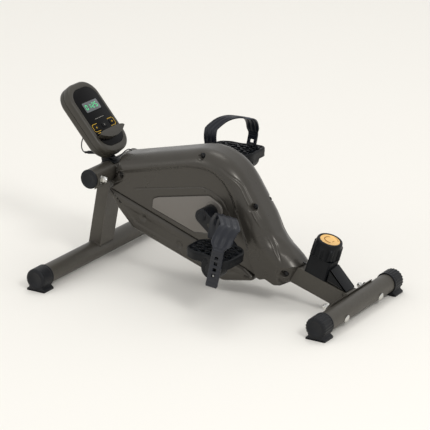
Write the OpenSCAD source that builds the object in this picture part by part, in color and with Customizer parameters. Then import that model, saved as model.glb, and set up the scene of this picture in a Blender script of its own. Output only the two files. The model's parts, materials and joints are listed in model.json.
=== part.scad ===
// Under-desk pedal exerciser. +X points to the seated user, Y runs across the
// machine, +Z is up. The origin is on the floor, midway along the overall length.

/* [Frame] */
// Distance between the centres of the two stabilizer tubes
wheelbase = 650; // [600:5:780]
// Outside diameter of the stabilizers and of the handle bar
round_d = 42; // [38:1:50]
// Overall length of the front stabilizer, over its end caps
front_w = 496; // [440:4:600]
// Overall length of the rear stabilizer, over its end caps
rear_w = 344; // [300:4:420]
// Overall length of the handle bar, over its end caps
bar_w = 184; // [176:2:240]
// Height of the handle bar's centre above the floor
bar_h = 217; // [200:1:260]
// How far the front post leans back from the front stabilizer to the bar
post_lean = 36; // [24:1:50]
// Size of the front post along X
post_d = 30; // [24:1:36]
// Size of the front post along Y
post_w = 54; // [40:1:70]
// Side of the square main tube
tube_side = 40; // [36:1:46]
// Wall of all frame tubes
tube_wall = 2; // [1.5:0.25:3]
// Distance between the two bolts of each saddle
bolt_pitch = 148; // [136:2:150]
// Diameter of the carriage bolts
bolt_d = 8; // [6:1:8]

/* [Drive] */
// Crank radius, from the crank axle to the pedal spindle
crank_r = 90; // [80:1:105]
// Crank angle below horizontal at rest, near side
crank_angle = 41; // [0:1:90]
// Diameter of the crank axle
axle_d = 17; // [14:1:18]
// Diameter of the pedal spindles
spindle_d = 14; // [10:1:16]
// Pitch radius of the drive pulley
drive_pulley_r = 65; // [55:1:70]
// Diameter of the flywheel
flywheel_d = 170; // [140:2:180]
// Thickness of the flywheel
flywheel_t = 14; // [10:1:15]

/* [Pedals] */
// Length of a pedal along the foot
pedal_l = 115; // [100:1:124]
// Width of a pedal across the foot
pedal_w = 90; // [80:1:100]
// Width of the broad part of a strap
strap_w = 50; // [36:1:54]
// Height of the strap arch above the pedal's top
strap_h = 78; // [70:1:95]

/* [Shroud] */
// Overall width of the shroud
shroud_w = 104; // [104:2:120]
// Wall of the shroud and covers
shroud_wall = 2.5; // [2:0.25:3.5]
// Bevel that rounds the shroud's rim
rim_bevel = 14; // [8:1:18]

/* [Knob] */
// Diameter of the tension knob over its lobes
knob_d = 68; // [56:1:76]
// Height of the tension knob
knob_h = 39; // [30:1:48]

/* [Console] */
// Length of the console
console_l = 178; // [156:1:190]
// Width of the console
console_w = 106; // [92:1:115]
// Thickness of the console
console_t = 33; // [26:1:36]
// Tilt of the console's face below horizontal
console_tilt = 49; // [35:1:60]

/* [Hidden] */
$fn = 72;

// shared clearances
run_gap = 0.05;
side_gap = 0.5;
seat_gap = 0.1;
end_over = 1;
fit_gap = 0.4;
big = 400;

// frame layout
round_r = round_d / 2;
cap_wall = 3;
cap_r = round_r + cap_wall;
cap_len = 38;
cap_end = 4;
foot_h = 3;
stab_z = cap_r + foot_h;
con_ahead = 48;
con_above = 104;
con_bevel = 6;
head_over = 4;
front_reach = con_ahead - post_lean + (console_l / 2 - con_bevel) * cos(console_tilt)
    + console_t / 2 * sin(console_tilt);
rear_reach = round_r + head_over;
front_x = (front_reach - rear_reach - wheelbase) / 2;
rear_x = front_x + wheelbase;
bar_x = front_x + post_lean;
tube_slope = atan((bar_h - stab_z) / (rear_x - bar_x));
tube_run = norm([rear_x - bar_x, bar_h - stab_z]);
half_tube = tube_side / 2;
saddle_t = 4;
saddle_l = bolt_pitch + 28;
saddle_arc = acos((post_d / 2 - 2) / round_r) - tube_slope / 2;
saddle_edge = acos(round_r * cos(saddle_arc) / (round_r + saddle_t)) - tube_slope / 2;
saddle_top = (round_r + saddle_t) * sin(saddle_edge) + end_over;
bolt_r = bolt_d / 2;
bolt_hole_r = bolt_r + 0.25;
post_tilt = atan(post_lean / (bar_h - stab_z));
post_run = norm([post_lean, bar_h - stab_z]);
foot_w = 46;
foot_neck = 32;
foot_pad = 7;
foot_teeth = 5;
scallops = 14;

// drive layout, measured along the main tube (s) and square to it (h)
crank_s = 287;
crank_h = half_tube + 37;
fly_s = 170;
fly_h = 10;
fly_r = flywheel_d / 2;
axle_r = axle_d / 2;
spindle_r = spindle_d / 2;
fly_axle_r = 6;
fly_pulley_r = 20;
belt_t = 2.5;
belt_gap = 0.3;
pulley_w = 10;
bracket_r = axle_r + 11.5;
bracket_half = 30;
bearing_w = 9;
hub_r = 17;
hub_half = half_tube + 1;
pulley_y = bracket_half + 1.5;
fly_y = hub_half + 1;
arm_out = shroud_w / 2 + 37;
arm_t = 14;
boss_r = 15;
boss_in = shroud_w / 2 + 1.5;
cap_t = 3;
pedal_gap = 8;
pedal_y = arm_out + cap_t + pedal_gap + pedal_w / 2;

// magnet bracket
mag_gap = 2;
mag_t = 6;
mag_r = fly_r + mag_gap;
yoke_t = 3;
yoke_from = 74;
yoke_to = 144;
pivot_angle = 68;
pivot_r = 4;
pivot_boss = 8;
pivot_rad = mag_r + mag_t + yoke_t;
pivot_s = fly_s + pivot_rad * cos(pivot_angle);
pivot_h = fly_h + pivot_rad * sin(pivot_angle);
post_plate_y = half_tube - 8;
post_plate_t = 4;
mag_count = 4;

// shroud outline corners [s, h, corner radius]
half_w = shroud_w / 2;
panel_inset = 4;
panel_y = half_w - panel_inset;
insert_t = 2;
under = -half_tube;
cover_low = fly_h - fly_r - 11;
slot_gap = 2.5;
tail_top = half_tube + 14;
shell_main = [
    [22, under + 2, 6], [26, 55, 14], [266, 199, 116], [397, 91, 60], [426, 62, 6],
    [420, under - 8, 6], [393, under - 10, 6], [265, under - 6, 6]
];
shell_tail = [
    [393, under - 10, 6], [422, 66, 1], [489, tail_top, 14], [506, half_tube + 4, 4],
    [495, under - 3, 6], [469, under - 16, 10], [436, under - 20, 10]
];
cover_line = [
    [20, under + 1.2, 5], [57, cover_low + 35, 20], [112, cover_low + 5, 24],
    [354, cover_low, 26], [433, under - 24, 8], [394, under - 11, 6], [265, under - 7, 6]
];
insert_line = [
    [144, -11, 3], [140, 10, 10], [152, 20, 10], [268, 84, 16], [313, 74, 18], [298, 4, 12], [257, -13, 6]
];
panel_line = [
    [46, -6, 10], [48, 36, 14], [250, 154, 60], [336, 112, 60], [392, 32, 30], [388, -16, 8], [265, -18, 6]
];
port_r = 20;
screw_r = 4;
recess_r = 8;
recess_deep = 16;
screw_spots = [[47, 22], [222, 157], [361, 103], [482, 0]];

// pedals and straps
pedal_top = 17;
pedal_deep = 24;
rim = 6;
tread_t = 4;
belly_r = 25;
belly_l = 30;
belly_x = 16;
belly_drop = 10;
stud_r = 3.5;
stud_z = -20;
strap_t = 3;
strap_x = 26;
strap_skew = 44;
strap_split = 28;
tail_w = 30;
tail_end = -46;
tail_holes = 4;
hole_pitch = 14;
holes_below = 1;

// knob
housing_s = 517;
housing_l = 54;
housing_half = half_tube + 1;
housing_h = half_tube + 45;
wedge_end = 622;
wedge_top = housing_h - 13;
knob_s = housing_s + housing_l / 2;
knob_r = knob_d / 2;
knob_stem_r = 10;
disc_r = knob_r - 11;
disc_t = 1.6;
lobes = 10;

// console
con_x = bar_x - con_ahead;
con_z = bar_h + con_above;
half_t = console_t / 2;
con_wall = 2.5;
con_round = 40;
face_l = 146;
face_w = 84;
face_t = 1.6;
face_round = 30;
face_ledge = 4;
lcd_u = -27;
lcd_l = 24;
lcd_w = 54;
button_u = 23;
button_pitch = 29;
button_l = 12;
button_w = 15;
button_rise = 1.4;
button_skirt = 3;
shelf_r = 80;
shelf_u = -22;
shelf_arc = 35;
shelf_depth = 18;
shelf_lip = 20;
shelf_t = 3;
stalk_w = 28;
battery_u = -22;
battery_l = 62;
battery_w = 44;
battery_t = 1.5;
board_l = 120;
board_w = 60;
board_t = 1.6;
board_depth = 6;
shelf_wall_steps = 12;
collar_t = 3.5;
lead_r = 1.2;
plug_r = 3.6;

// hand-chosen points of the console lead, from the handle bar's centre
lead_back = [
    [-50.4, -16.5, 80.8], [-60, -17, 72], [-67, -18, 58],
    [-69, -18, 44], [-67, -17, 35], [-62, -16.5, 31]
];
lead_front = [
    [-26, -16, 37], [-20, -15.5, 36], [-10, -15, 33], [2, -14, 30], [12, -9, 29], [18, 1, 31],
    [20, 12, 35], [22, 21, 39], [26, 28, 41], [31, 32, 37], [33.5, 31.5, 31.5]
];
cable_r = 1.6;
cable_h = half_tube + 6;
cable_port_r = 2.4;
cable_port_s = 465;
// hand-chosen points of the tension cable, along the main tube [s, y, h]
cable_line = [
    [528, 0, cable_h], [505, 0, cable_h], [480, 0, cable_h], [465, 0, cable_h], [452, -5, 27], [425, -16, 29],
    [395, -28, 31], [365, -33, 32], [335, -34, 31], [305, -34, 30], [285, -34, 34],
    [268, -34, 46], [255, -34, 64], [244, -34, 82], [236, -34, 98]
];

// ---- geometry helpers ----

// place children along the main tube: x along it, z square to it
module on_tube(s = 0, h = 0) {
    translate([bar_x, 0, bar_h]) rotate([0, tube_slope, 0]) translate([s, 0, h]) children();
}

// place children on the console: x down its face, z out of its face
module on_console(u = 0, v = 0, z = 0) {
    translate([con_x, 0, con_z]) rotate([0, console_tilt, 0]) translate([u, v, z]) children();
}

// a cylinder along Y, from y0 to y1
module y_rod(r, y0, y1) {
    translate([0, y0, 0]) rotate([-90, 0, 0]) cylinder(r = r, h = y1 - y0);
}

// extrude an outline drawn in x and z, from y0 to y1
module y_plate(y0, y1) {
    translate([0, y1, 0]) rotate([90, 0, 0]) linear_extrude(y1 - y0) children();
}

// corner points of an arc that rounds corner b between a and c by radius r
function unit(v) = v / norm(v);
function round_corner(a, b, c, r) =
    let (p = unit(a - b), q = unit(c - b), half = acos(p * q) / 2,
        cut = min(r / tan(half), norm(a - b) * 0.48, norm(c - b) * 0.48),
        rad = cut * tan(half), mid = b + unit(p + q) * rad / sin(half),
        from = b + p * cut - mid, to = b + q * cut - mid,
        a0 = atan2(from[1], from[0]), sweep = atan2(to[1], to[0]) - a0,
        turn = sweep > 180 ? sweep - 360 : sweep < -180 ? sweep + 360 : sweep,
        steps = max(2, ceil(abs(turn) / 9)))
    [for (i = [0:steps]) mid + rad * [cos(a0 + turn * i / steps), sin(a0 + turn * i / steps)]];

// closed outline with every corner rounded by its own radius
function rounded(pts) =
    let (n = len(pts))
    [for (i = [0:n - 1])
        let (a = pts[(i + n - 1) % n], b = pts[i], c = pts[(i + 1) % n])
        each round_corner([a[0], a[1]], [b[0], b[1]], [c[0], c[1]], b[2])];

module plan_rect(l, w, r) {
    polygon(rounded([[-l / 2, -w / 2, r], [l / 2, -w / 2, r], [l / 2, w / 2, r], [-l / 2, w / 2, r]]));
}

// round tube of radius r swept along points, with `sides` sides
function ring_at(pts, i, r, sides) =
    let (n = len(pts), d = unit(pts[min(i + 1, n - 1)] - pts[max(i - 1, 0)]),
        side = unit(cross(d, abs(d[1]) > 0.9 ? [1, 0, 0] : [0, 1, 0])), up = cross(side, d))
    [for (k = [0:sides - 1]) pts[i] + r * (cos(360 * k / sides) * side + sin(360 * k / sides) * up)];

// solid through a list of rings that have the same number of points
module skin(rings) {
    n = len(rings);
    sides = len(rings[0]);
    walls = [for (i = [0:n - 2], k = [0:sides - 1])
        let (a = i * sides + k, b = i * sides + (k + 1) % sides)
        each [[a, b, b + sides], [a, b + sides, a + sides]]];
    ends = [[for (k = [0:sides - 1]) sides - 1 - k], [for (k = [0:sides - 1]) (n - 1) * sides + k]];
    polyhedron([for (ring = rings) each ring], concat(walls, ends));
}

module sweep(pts, r, sides = 8) {
    skin([for (i = [0:len(pts) - 1]) ring_at(pts, i, r, sides)]);
}

// ---- frame ----

module cross_tube(len, x, z, wall = tube_wall) {
    translate([x, 0, z]) difference() {
        y_rod(round_r, -len / 2, len / 2);
        y_rod(round_r - wall, -len / 2 - end_over, len / 2 + end_over);
    }
}

// holes for the two bolts of a saddle, along direction `turn` about Y
module bolt_holes(r = bolt_hole_r) {
    for (y = [-1, 1] * bolt_pitch / 2) translate([-big / 4, y, 0]) rotate([0, 90, 0]) cylinder(r = r, h = big / 2);
}

module front_stabilizer() {
    color("#4a4640") cross_tube(front_w - 2 * cap_end, front_x, stab_z);
}

module rear_stabilizer() {
    color("#4a4640") difference() {
        cross_tube(rear_w - 2 * cap_end, rear_x, stab_z);
        translate([rear_x, 0, stab_z]) rotate([0, tube_slope, 0]) bolt_holes();
    }
}

// tread outline of a foot: a flared pad with teeth below a narrow neck
module foot_plan() {
    step = foot_w / (2 * foot_teeth + 1);
    teeth = [for (i = [0:foot_teeth - 1])
        let (x = -foot_w / 2 + step * (2 * i + 1))
        each [[x, 0], [x, 2], [x + step, 2], [x + step, 0]]];
    polygon(concat([[-foot_w / 2, foot_pad * 0.6], [-foot_w / 2, 0]], teeth,
        [[foot_w / 2, 0], [foot_w / 2, foot_pad * 0.6], [foot_neck / 2, foot_pad + 3],
        [foot_neck / 2, foot_pad + 5], [-foot_neck / 2, foot_pad + 5], [-foot_neck / 2, foot_pad + 3]]));
}

// one end cap with its foot, standing at the +Y end; the mouth faces -Y
module end_cap(scalloped) {
    difference() {
        union() {
            rotate([90, 0, 0]) translate([0, 0, -cap_end]) rotate_extrude()
                polygon([[0, 0], [cap_r - 4, 0], [cap_r - 1.2, 1.4], [cap_r, 5], [cap_r, cap_len], [0, cap_len]]);
            translate([0, 0, -stab_z]) y_plate(cap_end - cap_len + 2, cap_end - 1) foot_plan();
        }
        y_rod(round_r, -cap_len - end_over, 0);
        if (scalloped) for (i = [1:scallops - 1]) rotate([0, 360 * i / scallops + 90, 0])
            translate([cap_r + 1.6, 0, 0]) y_rod(3, cap_end - cap_len + 6, cap_end + end_over);
    }
}

module front_end_caps() {
    color("#1b1d20") for (m = [0, 1]) mirror([0, m, 0])
        translate([front_x, front_w / 2 - cap_end, stab_z]) end_cap(false);
}

module rear_end_caps() {
    color("#1b1d20") for (m = [0, 1]) mirror([0, m, 0])
        translate([rear_x, rear_w / 2 - cap_end, stab_z]) end_cap(true);
}

module front_post() {
    color("#4a4640") difference() {
        translate([front_x, 0, stab_z]) rotate([0, post_tilt, 0]) linear_extrude(post_run) difference() {
            square([post_d, post_w], center = true);
            square([post_d - 2 * tube_wall, post_w - 2 * tube_wall], center = true);
        }
        translate([front_x, 0, stab_z]) y_rod(round_r, -post_w, post_w);
        translate([bar_x, 0, bar_h]) y_rod(round_r, -post_w, post_w);
    }
}

module handle_bar() {
    color("#4a4640") difference() {
        cross_tube(bar_w - 2 * cap_end, bar_x, bar_h);
        translate([bar_x, 0, bar_h]) bolt_holes();
    }
}

module bar_end_caps() {
    plug = (bar_w - bolt_pitch) / 2 - cap_end - bolt_hole_r - end_over;
    color("#24262a") for (m = [0, 1]) mirror([0, m, 0]) translate([bar_x, bar_w / 2 - cap_end, bar_h]) {
        rotate([90, 0, 0]) translate([0, 0, -cap_end]) rotate_extrude() polygon([
            [0, 0], [round_r - 1, 0], [round_r + 0.6, 1.5], [round_r + 0.6, cap_end],
            [round_r - tube_wall, cap_end], [round_r - tube_wall, cap_end + plug], [0, cap_end + plug]]);
    }
}

// curved plate that hugs the +X side of a round tube
module saddle(turn) {
    rotate([0, turn, 0]) intersection() {
        difference() {
            y_rod(round_r + saddle_t, -saddle_l / 2, saddle_l / 2);
            y_rod(round_r, -saddle_l, saddle_l);
        }
        translate([round_r * cos(saddle_arc), -saddle_l, -big / 2]) cube([big, 2 * saddle_l, big]);
    }
}

module front_saddle() {
    color("#4a4640") translate([bar_x, 0, bar_h]) difference() {
        saddle(tube_slope / 2);
        bolt_holes();
    }
}

module rear_saddle() {
    color("#4a4640") translate([rear_x, 0, stab_z]) difference() {
        saddle(tube_slope + 180);
        rotate([0, tube_slope, 0]) bolt_holes();
    }
}

module main_tube() {
    hug = round_r + saddle_t;
    color("#4a4640") difference() {
        on_tube() translate([0, -half_tube, -half_tube]) difference() {
            cube([tube_run, tube_side, tube_side]);
            translate([-end_over, tube_wall, tube_wall])
                cube([tube_run + 2 * end_over, tube_side - 2 * tube_wall, tube_side - 2 * tube_wall]);
        }
        translate([bar_x, 0, bar_h]) y_rod(hug, -tube_side, tube_side);
        translate([rear_x, 0, stab_z]) y_rod(hug, -tube_side, tube_side);
        translate([front_x, 0, stab_z]) rotate([0, post_tilt, 0])
            translate([-post_d, -tube_side, 0]) cube([post_d * 1.5 + seat_gap, 2 * tube_side, post_run]);
        on_tube(fly_s, fly_h) y_rod(hub_r, -tube_side, tube_side);
    }
}

// children are drawn once per bolt, x along the bolt and away from its head
module at_bolts() {
    for (y = [-1, 1] * bolt_pitch / 2) {
        translate([bar_x, y, bar_h]) children();
        translate([rear_x, y, stab_z]) rotate([0, tube_slope + 180, 0]) children();
    }
}

head_h = 4.5;
head_r = 9;
washer_t = 1.6;
washer_r = 11;
nut_t = 6.5;
nut_r = 7.5;
nut_x = round_r + saddle_t + seat_gap + washer_t;

module carriage_bolts() {
    color("silver") at_bolts() rotate([0, 90, 0]) {
        translate([0, 0, -round_r - seat_gap]) cylinder(r = bolt_r, h = nut_x + nut_t + round_r);
        translate([0, 0, -round_r - seat_gap]) rotate([180, 0, 0]) rotate_extrude()
            polygon([[0, 0], [head_r, 0], [head_r * 0.86, 2], [head_r * 0.55, 3.8], [0, head_h]]);
    }
}

module washers() {
    color("silver") at_bolts() rotate([0, 90, 0]) translate([0, 0, nut_x - washer_t]) difference() {
        cylinder(r = washer_r, h = washer_t);
        translate([0, 0, -end_over]) cylinder(r = bolt_hole_r, h = washer_t + 2 * end_over);
    }
}

module dome_nuts() {
    color("silver") at_bolts() rotate([0, 90, 0]) translate([0, 0, nut_x]) difference() {
        union() {
            cylinder(r = nut_r, h = nut_t, $fn = 6);
            translate([0, 0, nut_t]) rotate_extrude() intersection() {
                circle(r = nut_r * 0.85);
                square(nut_r);
            }
        }
        translate([0, 0, -end_over]) cylinder(r = bolt_r + run_gap, h = nut_t + end_over + 1);
    }
}

// ---- brackets and bearings ----

module bottom_bracket() {
    web_l = 30;
    color("#4a4640") on_tube(crank_s, crank_h) difference() {
        union() {
            y_rod(bracket_r, -bracket_half, bracket_half);
            translate([-web_l / 2, -half_tube, half_tube - crank_h]) cube([web_l, tube_side, crank_h - half_tube]);
        }
        y_rod(bracket_r - 3, -bracket_half - end_over, bracket_half + end_over);
    }
}

// a bearing ring along Y
module bearing(r_in, r_out, y0) {
    difference() {
        y_rod(r_out, y0, y0 + bearing_w);
        y_rod(r_in, y0 - end_over, y0 + bearing_w + end_over);
    }
}

module crank_bearings() {
    color("lightgrey") on_tube(crank_s, crank_h) for (m = [0, 1]) mirror([0, m, 0])
        bearing(axle_r + run_gap, bracket_r - 3, bracket_half - bearing_w);
}

module flywheel_bracket() {
    post_l = 16;
    color("#4a4640") {
        on_tube(fly_s, fly_h) difference() {
            y_rod(hub_r, -hub_half, hub_half);
            y_rod(hub_r - 3, -hub_half - end_over, hub_half + end_over);
        }
        on_tube() {
            y_plate(-post_plate_y - post_plate_t, -post_plate_y) polygon([
                [pivot_s - post_l / 2, half_tube], [pivot_s + post_l, half_tube],
                [pivot_s + post_l / 2, pivot_h], [pivot_s, pivot_h + post_l / 2], [pivot_s - post_l / 2, pivot_h]]);
            translate([pivot_s, 0, pivot_h]) y_rod(pivot_r, -fly_y - flywheel_t - 2, -post_plate_y - post_plate_t);
        }
    }
}

module flywheel_bearings() {
    color("lightgrey") on_tube(fly_s, fly_h) for (m = [0, 1]) mirror([0, m, 0])
        bearing(fly_axle_r + run_gap, hub_r - 3, hub_half - bearing_w);
}

// ---- shroud ----

// one half of a convex shell, beveled towards its outer face, from y = 0 to the near side
module half_shell(line, w, bevel, inset) {
    hull() {
        y_plate(-w + bevel, 0) offset(delta = -inset) polygon(rounded(line));
        y_plate(-w, -w + bevel) offset(delta = -inset - bevel) polygon(rounded(line));
    }
}

module shroud_solid(inset) {
    w = half_w - inset;
    half_shell(shell_main, w, rim_bevel, inset);
    half_shell(shell_tail, w - 10, rim_bevel, inset);
}

// room for the flywheel where it passes between the shroud and the lower cover
module flywheel_slot() {
    translate([fly_s, 0, fly_h]) y_rod(fly_r + slot_gap, -fly_y - flywheel_t - slot_gap, -fly_y + slot_gap);
}

module shroud_half() {
    on_tube() difference() {
        shroud_solid(0);
        difference() {
            shroud_solid(shroud_wall);
            for (p = screw_spots) translate([p[0], 0, p[1]]) y_rod(recess_r + shroud_wall, -half_w, 0);
            y_plate(-half_w, -panel_y + insert_t + shroud_wall) polygon(rounded(panel_line));
        }
        y_plate(-half_w - end_over, -panel_y) polygon(rounded(panel_line));
        y_plate(-half_w, -panel_y + insert_t) offset(delta = seat_gap) polygon(rounded(insert_line));
        for (p = screw_spots) translate([p[0], 0, p[1]]) {
            y_rod(recess_r, -half_w - end_over, -half_w + recess_deep);
            y_rod(screw_r, -half_w - end_over, end_over);
        }
        translate([crank_s, 0, crank_h]) y_rod(port_r, -half_w - end_over, 0);
        y_rod(round_r + saddle_t + side_gap, -half_w - end_over, end_over);
        translate([cable_port_s, 0, cable_h]) rotate([0, 90, 0])
            cylinder(r = cable_port_r, h = housing_s - cable_port_s);
        translate([0, -half_tube - side_gap, -half_tube - side_gap])
            cube([tube_run, 2 * half_tube, tube_side + 2 * side_gap]);
        flywheel_slot();
    }
}

module shroud_near() {
    color("#4d4943") shroud_half();
}

module shroud_far() {
    color("#4d4943") mirror([0, 1, 0]) shroud_half();
}

module cover_half() {
    w = half_w - 4;
    bevel = 8;
    on_tube() difference() {
        half_shell(cover_line, w, bevel, 0);
        half_shell(cover_line, w - shroud_wall, bevel, shroud_wall);
        translate([0, -half_tube - side_gap, -half_tube - side_gap])
            cube([tube_run, 2 * half_tube, tube_side + 2 * side_gap]);
        flywheel_slot();
    }
}

module lower_cover_near() {
    color("#45413b") cover_half();
}

module lower_cover_far() {
    color("#45413b") mirror([0, 1, 0]) cover_half();
}

module insert_half() {
    on_tube() difference() {
        y_plate(-panel_y, -panel_y + insert_t) polygon(rounded(insert_line));
        translate([crank_s, 0, crank_h]) y_rod(boss_r + 3, -half_w, 0);
    }
}

module insert_near() {
    color("#76716b") insert_half();
}

module insert_far() {
    color("#76716b") mirror([0, 1, 0]) insert_half();
}

module cover_screws() {
    head = 6.5;
    depth = half_w - recess_deep + seat_gap;
    color("#222222") for (m = [0, 1]) mirror([0, m, 0]) on_tube() for (p = screw_spots) translate([p[0], 0, p[1]]) {
        y_rod(head, -depth - 3.5, -depth);
        y_rod(screw_r - 1, -depth, -half_tube - end_over);
    }
}

// ---- knob, cable, belt ----

module knob_housing() {
    wall = 2.5;
    color("#1f2226") on_tube() difference() {
        union() {
            translate([housing_s, -housing_half, half_tube + seat_gap])
                cube([housing_l, 2 * housing_half, housing_h - half_tube - seat_gap]);
            y_plate(-half_tube + 1, half_tube - 1) polygon([
                [housing_s + housing_l - 1, half_tube + seat_gap], [wedge_end, half_tube + seat_gap],
                [wedge_end, half_tube + 2], [housing_s + housing_l, wedge_top], [housing_s + housing_l - 1, wedge_top]]);
        }
        translate([housing_s + wall, -housing_half + wall, 0])
            cube([housing_l - 2 * wall, 2 * (housing_half - wall), housing_h - 8]);
        translate([knob_s, 0, 0]) cylinder(r = knob_stem_r + run_gap, h = big);
        translate([housing_s - end_over, 0, cable_h]) rotate([0, 90, 0]) cylinder(r = 3, h = wall + 2 * end_over);
    }
}

module tension_knob() {
    color("#17181a") on_tube(knob_s, housing_h + 1) difference() {
        union() {
            rotate_extrude() polygon([[0, 0], [knob_r - 6, 0], [knob_r - 4, 2], [knob_r - 4, knob_h - 2],
                [knob_r - 6, knob_h], [disc_r + seat_gap, knob_h], [disc_r + seat_gap, knob_h - 2], [0, knob_h - 2]]);
            for (i = [0:lobes - 1]) rotate(360 * i / lobes) translate([knob_r - 6, 0, 6])
                cylinder(r = 6, h = knob_h - 14);
            translate([0, 0, -10]) cylinder(r = knob_stem_r, h = 10);
        }
    }
}

module knob_disc() {
    color("#d9a24a") on_tube(knob_s, housing_h + 1 + knob_h - 2) cylinder(r = disc_r, h = disc_t);
}

module tension_cable() {
    color("#202020") translate([bar_x, 0, bar_h]) rotate([0, tube_slope, 0]) sweep(cable_line, cable_r);
}

// belt outline: the loop round both pulleys, grown by `g`
module belt_loop(g) {
    hull() {
        translate([crank_s, crank_h]) circle(r = drive_pulley_r + g);
        translate([fly_s, fly_h]) circle(r = fly_pulley_r + g);
    }
}

module drive_belt() {
    color("#161616") on_tube() y_plate(pulley_y + 1, pulley_y + pulley_w - 1) difference() {
        belt_loop(belt_gap + belt_t);
        belt_loop(belt_gap);
    }
}

module return_spring() {
    wire = 0.8;
    coils = 3;
    ring = pivot_r + 1.6;
    base = post_plate_y + post_plate_t + wire + 0.3;
    color("silver") on_tube() translate([pivot_s, 0, pivot_h]) {
        for (i = [0:coils - 1]) translate([0, -base - 1.5 * wire * i, 0]) rotate([90, 0, 0])
            rotate_extrude() translate([ring, 0]) circle(r = wire);
        translate([ring, -base + wire, 0]) rotate([90, 0, 0])
            cylinder(r = wire * 0.8, h = 1.5 * wire * (coils - 1) + 2 * wire);
        translate([ring, -base, 0]) rotate([0, 180, 0]) cylinder(r = wire * 0.8, h = 30);
    }
}

module speed_sensor() {
    reach = 45;
    color("#222222") on_tube(crank_s + reach * cos(50), half_tube)
        translate([-6, 0, 0]) cube([12, pulley_y - 6, 9]);
}

// ---- console ----

module console_plan(inset = 0) {
    plan_rect(console_l - 2 * inset, console_w - 2 * inset, con_round - inset);
}

// world place of a console point, from the handle bar's centre, as [x, z]
function con_point(u, z) = [
    con_x - bar_x + u * cos(console_tilt) + z * sin(console_tilt),
    con_z - bar_h - u * sin(console_tilt) + z * cos(console_tilt)];

module console_stalk() {
    collar = round_r + collar_t;
    color("#1f2125") translate([bar_x, 0, bar_h]) difference() {
        union() {
            y_rod(collar, -stalk_w / 2, stalk_w / 2);
            y_plate(-stalk_w / 2 + 3, stalk_w / 2 - 3) polygon([
                [collar * cos(45), collar * sin(45)], con_point(console_l / 2 - 9, -half_t - seat_gap),
                con_point(console_l / 2 - 52, -half_t - seat_gap), [-collar * cos(40), collar * sin(40)]]);
        }
        y_rod(round_r, -stalk_w, stalk_w);
        translate([0, -stalk_w, -big]) cube([big, 2 * stalk_w, big + saddle_top]);
        translate([-big / 2, -stalk_w, -big - 6]) cube([big, 2 * stalk_w, big]);
    }
}

module console_back() {
    color("#4f4b45") difference() {
        hull() {
            on_console(z = -half_t + con_bevel) linear_extrude(half_t - con_bevel) console_plan();
            on_console(z = -half_t) linear_extrude(con_bevel) console_plan(con_bevel);
        }
        hull() {
            on_console(z = -half_t + con_bevel + con_wall) linear_extrude(half_t) console_plan(con_wall);
            on_console(z = -half_t + con_wall) linear_extrude(con_bevel) console_plan(con_bevel + con_wall);
        }
        on_console(u = battery_u, z = -half_t - end_over) linear_extrude(end_over + battery_t + seat_gap)
            plan_rect(battery_l + 1, battery_w + 1, con_bevel);
    }
}

module console_front() {
    color("#5a554e") difference() {
        hull() {
            on_console() linear_extrude(half_t - con_bevel) console_plan();
            on_console(z = half_t - con_bevel) linear_extrude(con_bevel) console_plan(con_bevel);
        }
        on_console(z = -end_over) linear_extrude(end_over + half_t - con_bevel) console_plan(con_wall);
        on_console(z = half_t - face_t - seat_gap) linear_extrude(big)
            plan_rect(face_l + fit_gap, face_w + fit_gap, face_round);
        on_console(z = 0) linear_extrude(big)
            plan_rect(face_l - 2 * face_ledge, face_w - 2 * face_ledge, face_round - face_ledge);
    }
}

module button_cuts(grow) {
    for (i = [-1:1]) translate([button_u, i * button_pitch]) plan_rect(button_l + grow, button_w + grow, 3);
}

module face_panel() {
    color("#101012") on_console(z = half_t - face_t) linear_extrude(face_t) difference() {
        plan_rect(face_l, face_w, face_round);
        translate([lcd_u, 0]) plan_rect(lcd_l + fit_gap, lcd_w + fit_gap, 2);
        button_cuts(0.8);
    }
}

module display_window() {
    color("#6d7072") on_console(u = lcd_u, z = half_t - face_t)
        linear_extrude(face_t - 0.2) plan_rect(lcd_l, lcd_w, 2);
}

// a strip of the shelf's arc between two radii, seen square to the face
module shelf_strip(r0, r1) {
    function arc(r) = [for (i = [0:shelf_wall_steps])
        let (a = -shelf_arc + 2 * shelf_arc * i / shelf_wall_steps) [shelf_u + r * cos(a), r * sin(a)]];
    inner = arc(r0);
    polygon(concat(arc(r1), [for (i = [0:shelf_wall_steps]) inner[shelf_wall_steps - i]]));
}

module phone_shelf() {
    color("#55514a") on_console(z = half_t) {
        linear_extrude(shelf_depth) shelf_strip(shelf_r - shelf_t, shelf_r);
        translate([0, 0, shelf_depth - shelf_t]) linear_extrude(shelf_t) shelf_strip(shelf_r - shelf_lip, shelf_r);
    }
}

module battery_cover() {
    color("#3b3833") on_console(u = battery_u, z = -half_t)
        linear_extrude(battery_t) plan_rect(battery_l, battery_w, con_bevel);
}

module circuit_board() {
    color("#2d5a3a") on_console(z = half_t - face_t - board_depth - board_t)
        linear_extrude(board_t) plan_rect(board_l, board_w, 3);
}

module console_lead() {
    color("#15161a") translate([bar_x, 0, bar_h]) {
        sweep(lead_back, lead_r);
        sweep(lead_front, lead_r);
    }
}

module lead_plug() {
    from = lead_back[len(lead_back) - 1];
    to = lead_front[0];
    color("#101114") translate([bar_x, 0, bar_h]) translate(from)
        rotate([0, 90 - atan((to[2] - from[2]) / (to[0] - from[0])), atan((to[1] - from[1]) / (to[0] - from[0]))])
        cylinder(r = plug_r, h = norm(to - from));
}

module button(i) {
    on_console(u = button_u, v = i * button_pitch, z = half_t - face_t - button_skirt)
        linear_extrude(button_skirt + face_t + button_rise) plan_rect(button_l, button_w, 3);
}

module button_left() {
    color("#2a2a2c") button(-1);
}

module button_middle() {
    color("#2a2a2c") button(0);
}

module button_right() {
    color("#2a2a2c") button(1);
}

// ---- cranks ----

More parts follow.
